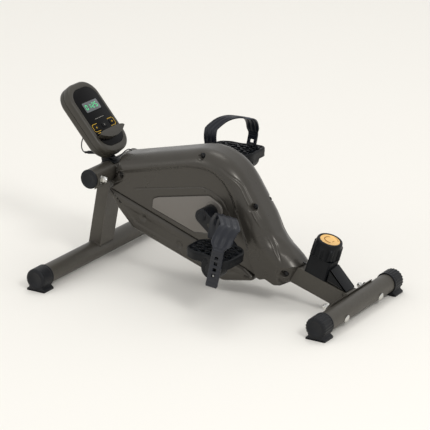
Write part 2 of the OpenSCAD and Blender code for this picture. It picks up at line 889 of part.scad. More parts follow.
// place children at the crank axle, side -1 near or 1 far, x along the crank arm
module at_crank(side) {
    on_tube(crank_s, crank_h) rotate([0, -tube_slope, 0])
        rotate([0, crank_angle + (side > 0 ? 180 : 0), 0]) children();
}

module crank_axle() {
    color("silver") on_tube(crank_s, crank_h) y_rod(axle_r, -arm_out + 4, arm_out - 4);
}

module crank_arm(side) {
    tip_r = 12;
    at_crank(side) mirror([0, side > 0 ? 1 : 0, 0]) difference() {
        union() {
            y_rod(boss_r, -arm_out, -boss_in);
            y_plate(-arm_out, -arm_out + arm_t) hull() {
                circle(r = boss_r);
                translate([crank_r, 0]) circle(r = tip_r);
            }
        }
        y_rod(axle_r, -arm_out + 4, 0);
        translate([crank_r, 0, 0]) y_rod(spindle_r, -arm_out - end_over, -arm_out + arm_t - 2);
    }
}

module crank_arm_near() {
    color("#212326") crank_arm(-1);
}

module crank_arm_far() {
    color("#212326") crank_arm(1);
}

module crank_caps() {
    color("#2b2d31") for (side = [-1, 1]) at_crank(side) mirror([0, side > 0 ? 1 : 0, 0])
        translate([0, -arm_out, 0]) rotate([90, 0, 0]) rotate_extrude()
        polygon([[0, 0], [boss_r - 2.5, 0], [boss_r - 2.5, 1], [boss_r - 5, cap_t - 0.4], [0, cap_t]]);
}

module pedal_spindles() {
    color("silver") for (side = [-1, 1]) at_crank(side) mirror([0, side > 0 ? 1 : 0, 0])
        translate([crank_r, 0, 0]) y_rod(spindle_r, -pedal_y - pedal_w / 2 + 16, -arm_out + arm_t - 2);
}

module drive_pulley() {
    color("#303236") on_tube(crank_s, crank_h) difference() {
        y_rod(drive_pulley_r, pulley_y, pulley_y + pulley_w);
        y_rod(axle_r, 0, big);
        for (i = [0:5]) rotate([0, 60 * i, 0]) translate([drive_pulley_r * 0.58, 0, 0]) y_rod(12, 0, big);
    }
}

module sensor_magnet() {
    color("silver") on_tube(crank_s, crank_h) rotate([0, -30, 0]) translate([0, 0, 45]) y_rod(3.5, pulley_y - 2.5, pulley_y);
}

// ---- pedals ----

// place children at a pedal's spindle, level, with -y on the outer side
module at_pedal(side) {
    turn = crank_angle + (side > 0 ? 180 : 0);
    on_tube(crank_s, crank_h) rotate([0, -tube_slope, 0])
        translate([crank_r * cos(turn), side * pedal_y, -crank_r * sin(turn)])
        mirror([0, side > 0 ? 1 : 0, 0]) children();
}

// pedal outline in plan: square towards the user, narrower towards the toe
module pedal_plan(inset = 0) {
    x = pedal_l / 2 - inset;
    y = pedal_w / 2 - inset;
    polygon(rounded([
        [-x, -y * 0.62, 26], [-x * 0.4, -y, 34], [x, -y, 38],
        [x, y, 38], [-x * 0.4, y, 34], [-x, y * 0.62, 26]]));
}

// side: -1 near, 1 far; the weight and the stud are on the outer side
module pedal(side) {
    cells = 5;
    cell_l = pedal_l / (cells + 1.5);
    cell_w = pedal_w / (cells + 1.5);
    at_pedal(side) difference() {
        union() {
            translate([0, 0, pedal_top - pedal_deep]) linear_extrude(pedal_deep) difference() {
                pedal_plan();
                pedal_plan(rim);
            }
            translate([0, 0, pedal_top - 7]) linear_extrude(5) difference() {
                pedal_plan(rim - 1);
                for (i = [0:cells - 1], j = [0:cells - 1])
                    translate([(i - (cells - 1) / 2) * cell_l, (j - (cells - 1) / 2) * cell_w])
                    square([cell_l - tread_t, cell_w - tread_t], center = true);
            }
            y_rod(spindle_r + 5, -pedal_w / 2 + 2, pedal_w / 2 - 2);
            translate([belly_x, 0, 0]) difference() {
                translate([0, 0, -belly_drop]) y_rod(belly_r, -pedal_w / 2, -pedal_w / 2 + belly_l);
                translate([-big / 2, -big / 2, pedal_top - 7]) cube(big);
            }
            translate([strap_x, -pedal_w / 2 - strap_t - 3, stud_z]) rotate([-90, 0, 0])
                cylinder(r = stud_r, h = strap_t + 4);
        }
        y_rod(spindle_r + run_gap, -pedal_w / 2 + 15.5, pedal_w);
    }
}

// centre line of the strap, [y, z] from the spindle: inner foot, over the instep, outer tail
strap_top = pedal_top + strap_h;
strap_path = [
    [pedal_w / 2 - rim - 2, pedal_top + seat_gap * 4], [pedal_w / 2 + 1, strap_top * 0.62, 40],
    [pedal_w * 0.16, strap_top, 32],
    [-pedal_w * 0.42, strap_top * 0.84, 30], [-pedal_w / 2 - 8, strap_top * 0.4, 24],
    [-pedal_w / 2 - strap_t, pedal_top - 8, 16], [-pedal_w / 2 - strap_t, tail_end]
];

// an open path with its inner corners rounded
function open_rounded(pts) =
    let (n = len(pts))
    concat([pts[0]],
        [for (i = [1:n - 2]) let (a = pts[i - 1], b = pts[i], c = pts[i + 1])
            each round_corner([a[0], a[1]], [b[0], b[1]], [c[0], c[1]], b[2])],
        [pts[n - 1]]);

// the path moved sideways by d
function beside(path, d) =
    let (n = len(path))
    [for (i = [0:n - 1]) let (t = unit(path[min(i + 1, n - 1)] - path[max(i - 1, 0)]))
        path[i] + d * [-t[1], t[0]]];

// how far the strap's centre line lies along the foot, where it is `y` across the pedal
function strap_at(y) =
    strap_x - strap_skew * max(0, y + pedal_w / 4) / (pedal_w * 3 / 4);

// four corners of the strap's section between points a and b of its two faces
function strap_ring(x, a, b) = [
    [x - strap_w / 2, a[0], a[1]], [x + strap_w / 2, a[0], a[1]],
    [x + strap_w / 2, b[0], b[1]], [x - strap_w / 2, b[0], b[1]]];

module strap(side) {
    path = open_rounded(strap_path);
    left = beside(path, strap_t / 2);
    right = beside(path, -strap_t / 2);
    at_pedal(side) difference() {
        skin([for (i = [0:len(path) - 1]) strap_ring(strap_at(path[i][0]), left[i], right[i])]);
        for (m = [0, 1]) translate([strap_x, 0, 0]) mirror([m, 0, 0])
            translate([tail_w / 2, -pedal_w, tail_end - end_over])
            cube([strap_w, pedal_w * 2 / 3, strap_split - tail_end + end_over]);
        for (i = [0:tail_holes - 1]) translate([strap_x, -pedal_w / 2 + end_over, stud_z + hole_pitch * (i - holes_below)])
            rotate([90, 0, 0]) cylinder(r = stud_r + seat_gap, h = pedal_w);
    }
}

module pedal_near() {
    color("#1c1e21") pedal(-1);
}

module pedal_far() {
    color("#1c1e21") pedal(1);
}

module strap_near() {
    color("#33373d") strap(-1);
}

module strap_far() {
    color("#33373d") strap(1);
}

// ---- flywheel ----

module flywheel() {
    rim_w = 16;
    color("#56595d") on_tube(fly_s, fly_h) difference() {
        y_rod(fly_r, -fly_y - flywheel_t, -fly_y);
        difference() {
            y_rod(fly_r - rim_w, -fly_y - flywheel_t - end_over, -fly_y - flywheel_t + 4);
            y_rod(20, -fly_y - flywheel_t - end_over, -fly_y);
        }
        y_rod(fly_axle_r, -big, 0);
    }
}

module flywheel_axle() {
    color("silver") on_tube(fly_s, fly_h) y_rod(fly_axle_r, -fly_y - flywheel_t - 2, pulley_y + pulley_w + 1);
}

module flywheel_pulley() {
    color("#303236") on_tube(fly_s, fly_h) difference() {
        y_rod(fly_pulley_r, pulley_y, pulley_y + pulley_w);
        y_rod(fly_axle_r, 0, big);
    }
}

// ring sector round the flywheel, drawn in the tube's s-h plane
module sector(r0, r1, a0, a1) {
    steps = 12;
    function arc(r) = [for (i = [0:steps]) let (a = a0 + (a1 - a0) * i / steps) r * [cos(a), sin(a)]];
    inner = arc(r0);
    polygon(concat(arc(r1), [for (i = [0:steps]) inner[steps - i]]));
}

module magnet_bracket() {
    over = 1;
    color("#8b8e92") on_tube(fly_s, fly_h) difference() {
        union() {
            y_plate(-fly_y - flywheel_t - over, -fly_y + over)
                sector(mag_r + mag_t, mag_r + mag_t + yoke_t, pivot_angle, yoke_to);
            translate([pivot_s - fly_s, 0, pivot_h - fly_h])
                y_rod(pivot_boss, -fly_y - flywheel_t - over, -fly_y + over);
        }
        translate([pivot_s - fly_s, 0, pivot_h - fly_h]) y_rod(pivot_r + run_gap, -big, 0);
    }
}

module magnets() {
    pitch = (yoke_to - yoke_from) / mag_count;
    color("#3a3c40") on_tube(fly_s, fly_h) for (i = [0:mag_count - 1])
        y_plate(-fly_y - flywheel_t + 1, -fly_y - 1)
        sector(mag_r, mag_r + mag_t - seat_gap * 3, yoke_from + pitch * i + 2, yoke_from + pitch * (i + 1) - 2);
}

front_stabilizer();
rear_stabilizer();
front_end_caps();
rear_end_caps();
front_post();
handle_bar();
bar_end_caps();
front_saddle();
rear_saddle();
main_tube();
carriage_bolts();
washers();
dome_nuts();
bottom_bracket();
crank_bearings();
flywheel_bracket();
flywheel_bearings();
shroud_near();
shroud_far();
lower_cover_near();
lower_cover_far();
insert_near();
insert_far();
cover_screws();
knob_housing();
tension_cable();
drive_belt();
return_spring();
speed_sensor();
console_stalk();
console_back();
console_front();
face_panel();
display_window();
phone_shelf();
battery_cover();
circuit_board();
console_lead();
lead_plug();
crank_axle();
crank_arm_near();
crank_arm_far();
crank_caps();
pedal_spindles();
drive_pulley();
sensor_magnet();
pedal_near();
strap_near();
pedal_far();
strap_far();
flywheel();
flywheel_axle();
flywheel_pulley();
magnet_bracket();
magnets();
tension_knob();
knob_disc();
button_left();
button_middle();
button_right();
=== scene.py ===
import json
import math

import bmesh
import bpy
import numpy as np
from mathutils import Matrix, Vector


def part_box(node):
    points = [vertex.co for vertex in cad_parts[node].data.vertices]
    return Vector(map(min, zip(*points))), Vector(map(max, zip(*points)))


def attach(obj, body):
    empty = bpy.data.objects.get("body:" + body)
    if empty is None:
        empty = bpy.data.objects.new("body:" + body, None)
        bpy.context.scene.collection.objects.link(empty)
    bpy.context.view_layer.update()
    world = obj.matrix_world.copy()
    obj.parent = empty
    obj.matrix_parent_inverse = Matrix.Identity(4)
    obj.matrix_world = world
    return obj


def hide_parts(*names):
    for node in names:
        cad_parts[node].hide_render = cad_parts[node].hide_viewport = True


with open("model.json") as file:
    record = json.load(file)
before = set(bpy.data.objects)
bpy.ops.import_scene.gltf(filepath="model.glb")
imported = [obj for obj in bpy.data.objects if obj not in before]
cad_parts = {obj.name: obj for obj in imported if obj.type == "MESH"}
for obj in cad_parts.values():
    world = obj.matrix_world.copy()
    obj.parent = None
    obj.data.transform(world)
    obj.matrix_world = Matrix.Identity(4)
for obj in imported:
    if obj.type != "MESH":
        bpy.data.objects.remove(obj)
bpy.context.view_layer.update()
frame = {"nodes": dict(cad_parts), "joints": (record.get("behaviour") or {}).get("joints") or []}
mm = 0.001

barLow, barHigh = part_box("handle_bar")
rearLow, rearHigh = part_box("rear_stabilizer")
frontLow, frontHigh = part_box("front_stabilizer")
bar = (barLow + barHigh) / 2
rear = (rearLow + rearHigh) / 2
front = (frontLow + frontHigh) / 2
slope = math.atan2(bar.z - rear.z, rear.x - bar.x)
tubeRun = math.hypot(rear.x - bar.x, bar.z - rear.z)
tubeFrame = Matrix.Translation(bar) @ Matrix.Rotation(slope, 4, "Y")   # x runs down the main tube
jointAt = {j["name"]: Vector(j.get("pos_m", (0, 0, 0))) for j in frame["joints"]}
crankAt = jointAt["crank_spin"]
pedalAt = {"near": jointAt["pedal_near_spin"], "far": jointAt["pedal_far_spin"]}
buttonAxis = Vector(next(j["axis"] for j in frame["joints"] if j["name"] == "button_left_press"))
sides = ((-1, "near"), (1, "far"))


def onTube(s, h, y=0.0):
    return tubeFrame @ Vector((s * mm, y * mm, h * mm))


cameraSet = {"azimuth": 32.0, "elevation": 19.4, "distance": 5.2604, "lens": 204.6,
             "ahead": 0.3021, "up": 0.1578}   # ahead and up are from the front stabilizer, on the floor


def makeCamera(c):
    azimuth, elevation = math.radians(c["azimuth"]), math.radians(c["elevation"])
    target = Vector((front.x + c["ahead"], 0, c["up"]))
    back = Vector((math.sin(azimuth) * math.cos(elevation),
                   -math.cos(azimuth) * math.cos(elevation), math.sin(elevation)))
    data = bpy.data.cameras.new("camera")
    data.lens = c["lens"]
    data.sensor_width = 36
    camera = bpy.data.objects.new("camera", data)
    bpy.context.scene.collection.objects.link(camera)
    camera.location = target + back * c["distance"]
    camera.rotation_euler = back.to_track_quat("Z", "Y").to_euler()
    bpy.context.scene.camera = camera


makeCamera(cameraSet)
print("camera placed")


def newGroup(name, inputs, outputs):
    group = bpy.data.node_groups.new(name, "ShaderNodeTree")
    for title, kind, value in inputs:
        socket = group.interface.new_socket(name=title, in_out="INPUT", socket_type=kind)
        socket.default_value = value
    for title, kind in outputs:
        group.interface.new_socket(name=title, in_out="OUTPUT", socket_type=kind)
    return group, group.nodes.new("NodeGroupInput"), group.nodes.new("NodeGroupOutput")


def node(tree, kind, **settings):
    made = tree.nodes.new(kind)
    for key, value in settings.items():
        if hasattr(made, key):
            setattr(made, key, value)
        else:
            made.inputs[key.replace("_", " ")].default_value = value
    return made


def makeGrain():   # fine moulded or sprayed surface: a height and a slow and a fast variation
    group, into, out = newGroup("grain", [
        ("Scale", "NodeSocketFloat", 900.0), ("Coarse", "NodeSocketFloat", 18.0)],
        [("Height", "NodeSocketFloat"), ("Fine", "NodeSocketFloat"), ("Slow", "NodeSocketFloat")])
    place = group.nodes.new("ShaderNodeTexCoord")
    fine = node(group, "ShaderNodeTexNoise", Detail=4.0, Roughness=0.6)
    slow = node(group, "ShaderNodeTexNoise", Detail=3.0, Roughness=0.55)
    cell = node(group, "ShaderNodeTexVoronoi")
    both = node(group, "ShaderNodeMath", operation="MULTIPLY_ADD")
    both.inputs[1].default_value = 0.45
    link = group.links.new
    for texture, socket in ((fine, "Scale"), (cell, "Scale"), (slow, "Coarse")):
        link(place.outputs["Object"], texture.inputs["Vector"])
        link(into.outputs[socket], texture.inputs["Scale"])
    link(cell.outputs["Distance"], both.inputs[0])
    link(fine.outputs["Fac"], both.inputs[2])
    link(both.outputs[0], out.inputs["Height"])
    link(fine.outputs["Fac"], out.inputs["Fine"])
    link(slow.outputs["Fac"], out.inputs["Slow"])
    return group


def endMask(group, into, out, value, patch):   # a value, broken up by a noise patch, times the amount
    for factor in (patch.outputs["Fac"], into.outputs["Amount"]):
        times = node(group, "ShaderNodeMath", operation="MULTIPLY", use_clamp=True)
        group.links.new(value, times.inputs[0])
        group.links.new(factor, times.inputs[1])
        value = times.outputs[0]
    group.links.new(value, out.inputs["Mask"])
    return group


def makeWear():   # 1 on rubbed outer edges, broken up by noise
    group, into, out = newGroup("edgeWear", [
        ("Start", "NodeSocketFloat", 0.56), ("Amount", "NodeSocketFloat", 0.5)],
        [("Mask", "NodeSocketFloat")])
    geometry = group.nodes.new("ShaderNodeNewGeometry")
    place = group.nodes.new("ShaderNodeTexCoord")
    patch = node(group, "ShaderNodeTexNoise", Scale=120.0, Detail=5.0, Roughness=0.7)
    ramp = node(group, "ShaderNodeMapRange", clamp=True)
    ramp.inputs["From Max"].default_value = 0.75
    link = group.links.new
    link(place.outputs["Object"], patch.inputs["Vector"])
    link(geometry.outputs["Pointiness"], ramp.inputs["Value"])
    link(into.outputs["Start"], ramp.inputs["From Min"])
    return endMask(group, into, out, ramp.outputs["Result"], patch)


def makeDust():   # faint dust on faces that look up
    group, into, out = newGroup("dust", [("Amount", "NodeSocketFloat", 0.2)], [("Mask", "NodeSocketFloat")])
    geometry = group.nodes.new("ShaderNodeNewGeometry")
    place = group.nodes.new("ShaderNodeTexCoord")
    split = group.nodes.new("ShaderNodeSeparateXYZ")
    patch = node(group, "ShaderNodeTexNoise", Scale=38.0, Detail=6.0, Roughness=0.65)
    up = node(group, "ShaderNodeMapRange", clamp=True)
    up.inputs["From Min"].default_value = 0.35
    link = group.links.new
    link(geometry.outputs["Normal"], split.inputs[0])
    link(split.outputs["Z"], up.inputs["Value"])
    link(place.outputs["Object"], patch.inputs["Vector"])
    return endMask(group, into, out, up.outputs["Result"], patch)


def makeBrushed():   # streaks along one axis of the object
    group, into, out = newGroup("brushed", [
        ("Stretch", "NodeSocketVector", (12.0, 900.0, 900.0))], [("Height", "NodeSocketFloat")])
    place = group.nodes.new("ShaderNodeTexCoord")
    scale = node(group, "ShaderNodeVectorMath", operation="MULTIPLY")
    streak = node(group, "ShaderNodeTexNoise", Scale=1.0, Detail=3.0, Roughness=0.6)
    link = group.links.new
    link(place.outputs["Object"], scale.inputs[0])
    link(into.outputs["Stretch"], scale.inputs[1])
    link(scale.outputs[0], streak.inputs["Vector"])
    link(streak.outputs["Fac"], out.inputs["Height"])
    return group


grain, wear, dust, brushed = makeGrain(), makeWear(), makeDust(), makeBrushed()


def useGroup(tree, group, **values):
    placed = tree.nodes.new("ShaderNodeGroup")
    placed.node_tree = group
    for key, value in values.items():
        placed.inputs[key].default_value = value
    return placed


def mixColours(tree, factor, first, second):
    mix = tree.nodes.new("ShaderNodeMix")
    mix.data_type = "RGBA"
    for socket, value in ((mix.inputs["Factor"], factor), (mix.inputs["A"], first), (mix.inputs["B"], second)):
        if hasattr(value, "is_linked"):
            tree.links.new(value, socket)
        else:
            socket.default_value = value
    return mix.outputs["Result"]


def rgb(hexText, shade=1.0):
    parts = [int(hexText[i:i + 2], 16) / 255 for i in (1, 3, 5)]
    linear = [p / 12.92 if p <= 0.04045 else ((p + 0.055) / 1.055) ** 2.4 for p in parts]
    return (*[p * shade for p in linear], 1.0)


def finish(name, look):   # one material: colour varied by grain, rubbed edges and dust, with a fine bump
    material = bpy.data.materials.new(name)
    material.use_nodes = True
    tree = material.node_tree
    link = tree.links.new
    shader = tree.nodes["Principled BSDF"]
    fine = useGroup(tree, grain, Scale=look.get("grain", 900.0), Coarse=look.get("coarse", 18.0))
    colour = mixColours(tree, fine.outputs["Slow"], rgb(look["colour"], 0.9), rgb(look["colour"], 1.1))
    flecks = look.get("flecks", 0.12)
    colour = mixColours(tree, fine.outputs["Fine"], colour,
                        rgb(look["colour"], 1 + flecks * 2)) if flecks else colour
    if look.get("wear", 0.3):
        edges = useGroup(tree, wear, Start=look.get("wearStart", 0.56), Amount=look.get("wear", 0.3))
        colour = mixColours(tree, edges.outputs["Mask"], colour, rgb(look.get("worn", look["colour"]), 1.7))
    if look.get("dust", 0.05):
        powder = useGroup(tree, dust, Amount=look.get("dust", 0.05))
        colour = mixColours(tree, powder.outputs["Mask"], colour, rgb("#8d877c"))
    link(colour, shader.inputs["Base Color"])
    spread = node(tree, "ShaderNodeMapRange", clamp=True)
    spread.inputs["From Min"].default_value = 0.25
    spread.inputs["From Max"].default_value = 0.75
    spread.inputs["To Min"].default_value = look["rough"] - look.get("roughSpread", 0.06)
    spread.inputs["To Max"].default_value = look["rough"] + look.get("roughSpread", 0.06)
    link(fine.outputs["Slow"], spread.inputs["Value"])
    link(spread.outputs["Result"], shader.inputs["Roughness"])
    bump = node(tree, "ShaderNodeBump", Strength=look.get("bump", 0.25), Distance=look.get("deep", 0.0002))
    height = fine.outputs["Height"]
    if look.get("streaks"):
        lines = useGroup(tree, brushed, Stretch=look["streaks"])
        height = lines.outputs["Height"]
    link(height, bump.inputs["Height"])
    link(bump.outputs["Normal"], shader.inputs["Normal"])
    shader.inputs["Metallic"].default_value = look.get("metal", 0.0)
    shader.inputs["Specular IOR Level"].default_value = look.get("specular", 0.5)
    shader.inputs["Coat Weight"].default_value = look.get("coat", 0.0)
    shader.inputs["Coat Roughness"].default_value = look.get("coatRough", 0.15)
    shader.inputs["Sheen Weight"].default_value = look.get("sheen", 0.0)
    return material


looks = {
    "framePaint": {"colour": "#3a3731", "rough": 0.42, "grain": 1500.0, "bump": 0.35, "metal": 0.25,
                   "flecks": 0.16, "worn": "#6d675e"},
    "shroudPlastic": {"colour": "#403d38", "rough": 0.3, "grain": 2200.0, "bump": 0.14, "metal": 0.45,
                      "flecks": 0.1, "wear": 0.15, "dust": 0.08},
    "insertPlastic": {"colour": "#6b6762", "rough": 0.45, "grain": 2200.0, "bump": 0.2, "metal": 0.3,
                      "streaks": (30.0, 30.0, 900.0), "wear": 0.1},
    "capBlack": {"colour": "#0a0c10", "rough": 0.5, "specular": 0.3, "dust": 0.02, "grain": 1300.0,
                 "bump": 0.45, "flecks": 0.2, "worn": "#4a5058"},
    "softBlack": {"colour": "#07090c", "rough": 0.4, "grain": 1600.0, "bump": 0.35, "flecks": 0.2,
                  "dust": 0.01, "wear": 0.15, "specular": 0.2, "worn": "#454c55"},
    "crankBlack": {"colour": "#0b0d11", "rough": 0.3, "grain": 1200.0, "bump": 0.2, "flecks": 0.1,
                   "coat": 0.05, "specular": 0.25, "dust": 0.01, "worn": "#555a60"},
    "strapRubber": {"colour": "#12151d", "rough": 0.34, "specular": 0.4, "dust": 0.02, "grain": 1100.0,
                    "bump": 0.3, "flecks": 0.15, "worn": "#626a78", "wear": 0.5},
    "brightZinc": {"colour": "#c9c8c4", "rough": 0.2, "metal": 1.0, "grain": 500.0, "bump": 0.12,
                   "flecks": 0.02, "wear": 0.0, "dust": 0.05},
    "steel": {"colour": "#9a9a98", "rough": 0.32, "metal": 1.0, "bump": 0.2, "flecks": 0.02,
              "streaks": (900.0, 20.0, 900.0), "wear": 0.1},
    "castIron": {"colour": "#5b5d60", "rough": 0.45, "metal": 0.9, "grain": 700.0, "bump": 0.4,
                 "worn": "#a5a7aa"},
    "goldFoil": {"colour": "#f0c277", "rough": 0.4, "metal": 0.35, "bump": 0.25, "flecks": 0.05,
                 "streaks": (700.0, 40.0, 700.0), "wear": 0.0, "dust": 0.05},
    "faceGloss": {"colour": "#020203", "rough": 0.2, "grain": 300.0, "bump": 0.03, "flecks": 0.05,
                  "specular": 0.12, "wear": 0.0, "dust": 0.01},
    "lcdGrey": {"colour": "#4c5254", "rough": 0.2, "grain": 1500.0, "bump": 0.05, "flecks": 0.05, "coat": 0.8,
                "coatRough": 0.04, "wear": 0.0, "dust": 0.0},
    "buttonRubber": {"colour": "#060607", "rough": 0.5, "specular": 0.15, "dust": 0.01, "grain": 1500.0,
                     "bump": 0.3, "wear": 0.1},
    "goldPrint": {"colour": "#8f5f26", "rough": 0.4, "metal": 0.5, "grain": 900.0, "bump": 0.1, "flecks": 0.05,
                  "wear": 0.0, "dust": 0.0},
    "consolePlastic": {"colour": "#35322b", "rough": 0.42, "grain": 2000.0, "bump": 0.2, "metal": 0.1,
                       "flecks": 0.08, "wear": 0.15, "dust": 0.06},
    "yellowPrint": {"colour": "#e0b428", "rough": 0.5, "grain": 900.0, "bump": 0.1, "flecks": 0.05, "wear": 0.0,
                    "dust": 0.0},
    "whitePrint": {"colour": "#b9b6ad", "rough": 0.5, "grain": 900.0, "bump": 0.1, "flecks": 0.05, "wear": 0.0,
                   "dust": 0.0},
    "cableBlack": {"colour": "#0a0b0d", "rough": 0.35, "grain": 1800.0, "bump": 0.15, "wear": 0.1},
    "beltRubber": {"colour": "#1a1a1a", "rough": 0.6, "bump": 0.4},
    "nylon": {"colour": "#33363a", "rough": 0.45, "bump": 0.2},
    "boardGreen": {"colour": "#1f5b35", "rough": 0.3, "bump": 0.1, "coat": 0.4},
    # painted shade: this dark colour fills slots, grooves, seams and the crank port, where shade falls
    "paintedRecessShade": {"colour": "#201d1a", "rough": 0.6, "bump": 0.2, "wear": 0.0},
}
materials = {name: finish(name, look) for name, look in looks.items()}


def makeGlow(name, colour, strength):   # lit segments behind the display window
    material = finish(name, {"colour": colour, "rough": 0.3, "wear": 0.0, "dust": 0.0})
    shader = material.node_tree.nodes["Principled BSDF"]
    shader.inputs["Emission Color"].default_value = rgb(colour)
    shader.inputs["Emission Strength"].default_value = strength
    return material


materials["glowGreen"] = makeGlow("glowGreen", "#35d07f", 0.9)
print("materials made")


def roundedPath(points, closed=True, every=2.0):   # points are [x, y, radius]
    count = len(points)
    path = []
    for i, (x, y, radius) in enumerate(points):
        here = np.array((x, y), float)
        if not closed and i in (0, count - 1):
            path.append(here)
            continue
        before = np.array(points[i - 1][:2], float) - here
        after = np.array(points[(i + 1) % count][:2], float) - here
        lengthA, lengthB = np.linalg.norm(before), np.linalg.norm(after)
        p, q = before / lengthA, after / lengthB
        half = math.acos(max(-1, min(1, float(p @ q)))) / 2
        cut = min(radius / math.tan(half), lengthA * 0.48, lengthB * 0.48)
        rad = cut * math.tan(half)
        middle = here + (p + q) / np.linalg.norm(p + q) * rad / math.sin(half)
        start, end = here + p * cut - middle, here + q * cut - middle
        a0 = math.atan2(start[1], start[0])
        turn = (math.atan2(end[1], end[0]) - a0 + math.pi) % (2 * math.pi) - math.pi
        steps = max(2, int(abs(turn) * rad / every) + 1)
        for k in range(steps + 1):
            a = a0 + turn * k / steps
            path.append(middle + rad * np.array((math.cos(a), math.sin(a))))
    path = np.array(path)
    return path


def resample(path, count, closed=True):
    loop = np.vstack([path, path[:1]]) if closed else path
    run = np.concatenate([[0], np.cumsum(np.linalg.norm(np.diff(loop, axis=0), axis=1))])
    where = np.linspace(0, run[-1], count + 1 if closed else count)
    out = np.stack([np.interp(where, run, loop[:, k]) for k in range(loop.shape[1])], axis=1)
    return out[:-1] if closed else out


def nearest(points, path):   # each point's distance to a polyline, and which stretch of it is nearest
    a, d = path[:-1], path[1:] - path[:-1]
    size = np.maximum((d * d).sum(1), 1e-12)
    shortest, which = np.full(len(points), 1e9), np.zeros(len(points), int)
    batch = 20000
    for start in range(0, len(points), batch):
        p = points[start:start + batch]
        t = np.clip(((p[:, None, :] - a[None]) * d[None]).sum(2) / size[None], 0, 1)
        near = a[None] + t[..., None] * d[None]
        apart = np.sqrt(((p[:, None, :] - near) ** 2).sum(2))
        shortest[start:start + batch] = apart.min(1)
        which[start:start + batch] = apart.argmin(1)
    return shortest, which


def gap(points, path, closed=False):
    return nearest(points, np.vstack([path, path[:1]]) if closed else np.asarray(path))[0]


def signedSide(points, path):   # +1 on the left of a polyline, -1 on its right
    which = nearest(points, path)[1]
    step, reach = (path[1:] - path[:-1])[which], points - path[:-1][which]
    return np.sign(step[:, 0] * reach[:, 1] - step[:, 1] * reach[:, 0])


def smooth(x, low, high):
    t = np.clip((np.asarray(x, float) - low) / (high - low), 0, 1)
    return t * t * (3 - 2 * t)


def makeObject(name, verts, faces, material, matrix=None, flat=False):
    mesh = bpy.data.meshes.new(name)
    mesh.from_pydata([tuple(v) for v in verts], [], [tuple(f) for f in faces])
    if matrix is not None:
        mesh.transform(matrix)
    form = bmesh.new()
    form.from_mesh(mesh)
    bmesh.ops.remove_doubles(form, verts=form.verts, dist=1e-6)
    bmesh.ops.recalc_face_normals(form, faces=form.faces)
    form.to_mesh(mesh)
    form.free()
    mesh.materials.append(materials[material] if isinstance(material, str) else material)
    mesh.shade_flat() if flat else mesh.shade_smooth()
    made = bpy.data.objects.new(name, mesh)
    bpy.context.scene.collection.objects.link(made)
    return made


def sharpen(obj, angle=35):   # keep edges sharper than this angle crisp
    obj.data.set_sharp_from_angle(angle=math.radians(angle))


def gridFaces(rows, columns, wrap=True, offset=0):
    faces = []
    for i in range(rows - 1):
        for j in range(columns if wrap else columns - 1):
            k = (j + 1) % columns
            a, b = offset + i * columns, offset + (i + 1) * columns
            faces.append((a + j, a + k, b + k, b + j))
    return faces


def loft(name, rings, material, capStart=True, capEnd=True, wrap=True, matrix=None):
    rings = [np.asarray(r, float) for r in rings]
    columns = len(rings[0])
    verts = np.vstack(rings)
    faces = gridFaces(len(rings), columns, wrap)
    if capStart:
        faces.append(tuple(range(columns)))
    if capEnd:
        faces.append(tuple(range((len(rings) - 1) * columns, len(rings) * columns)))
    return makeObject(name, verts, faces, material, matrix)


def tube(name, points, radius, material, sides=14, caps=True, matrix=None):   # radius: number or a list
    points = np.asarray(points, float)
    count = len(points)
    radii = np.full(count, radius) if np.isscalar(radius) else np.asarray(radius)
    tangents = np.gradient(points, axis=0)
    tangents /= np.linalg.norm(tangents, axis=1)[:, None]
    side = np.cross(tangents[0], (0.31, 0.77, 0.55))
    side /= np.linalg.norm(side)
    rings = []
    for i in range(count):
        side = side - tangents[i] * (side @ tangents[i])
        side /= np.linalg.norm(side)
        other = np.cross(tangents[i], side)
        angles = np.arange(sides) * 2 * math.pi / sides
        rings.append(points[i] + radii[i] * (np.cos(angles)[:, None] * side + np.sin(angles)[:, None] * other))
    return loft(name, rings, material, caps, caps, True, matrix)


# profile is [radius, z] in mm; wave(angle, radius, z) may change the radius
def revolve(name, profile, material, matrix, segments=72, wave=None):
    rings = []
    for radius, z in profile:
        ring = []
        for k in range(segments):
            a = 2 * math.pi * k / segments
            r = wave(a, radius, z) if wave else radius
            ring.append((r * math.cos(a) * mm, r * math.sin(a) * mm, z * mm))
        rings.append(ring)
    return loft(name, rings, material, profile[0][0] > 0, profile[-1][0] > 0, True, matrix)


def inset(outline, amount):   # a closed outline moved inwards along its own normals
    step = np.roll(outline, -1, axis=0) - np.roll(outline, 1, axis=0)
    step /= np.maximum(np.linalg.norm(step, axis=1), 1e-9)[:, None]
    area = 0.5 * np.sum(outline[:, 0] * np.roll(outline[:, 1], -1) - np.roll(outline[:, 0], -1) * outline[:, 1])
    inward = np.stack([-step[:, 1], step[:, 0]], axis=1) * (1 if area > 0 else -1)
    return outline + inward * amount


def quarter(steps, first=0):   # how far a quarter round is from its two ends, step by step
    angles = [math.pi / 2 * k / steps for k in range(first, steps + 1)]
    return [(1 - math.sin(a), 1 - math.cos(a)) for a in angles]


def layers(rings):   # flat outlines in mm, each at its own height
    return [np.column_stack([r, np.full(len(r), z)]) * mm for r, z in rings]


def raised(by, *profile):
    return [(radius, by + z) for radius, z in profile]


# an outline in mm, extruded from low to high along local z, with rounded edges
def slab(name, outline, low, high, material, matrix, edge=1.0, steps=4, edgeLow=None):
    edgeLow = edge if edgeLow is None else edgeLow
    rings = [(inset(outline, edgeLow * a), low + edgeLow * b) for a, b in quarter(steps)]
    rings += [(inset(outline, edge * b), high - edge * a) for a, b in quarter(steps)]
    return loft(name, layers(rings), material, True, True, True, matrix)


def lathe(point, direction):   # matrix whose z runs along direction, from point
    return Matrix.Translation(point) @ Vector(direction).normalized().to_track_quat("Z",
                                                                                    "Y").to_matrix().to_4x4()


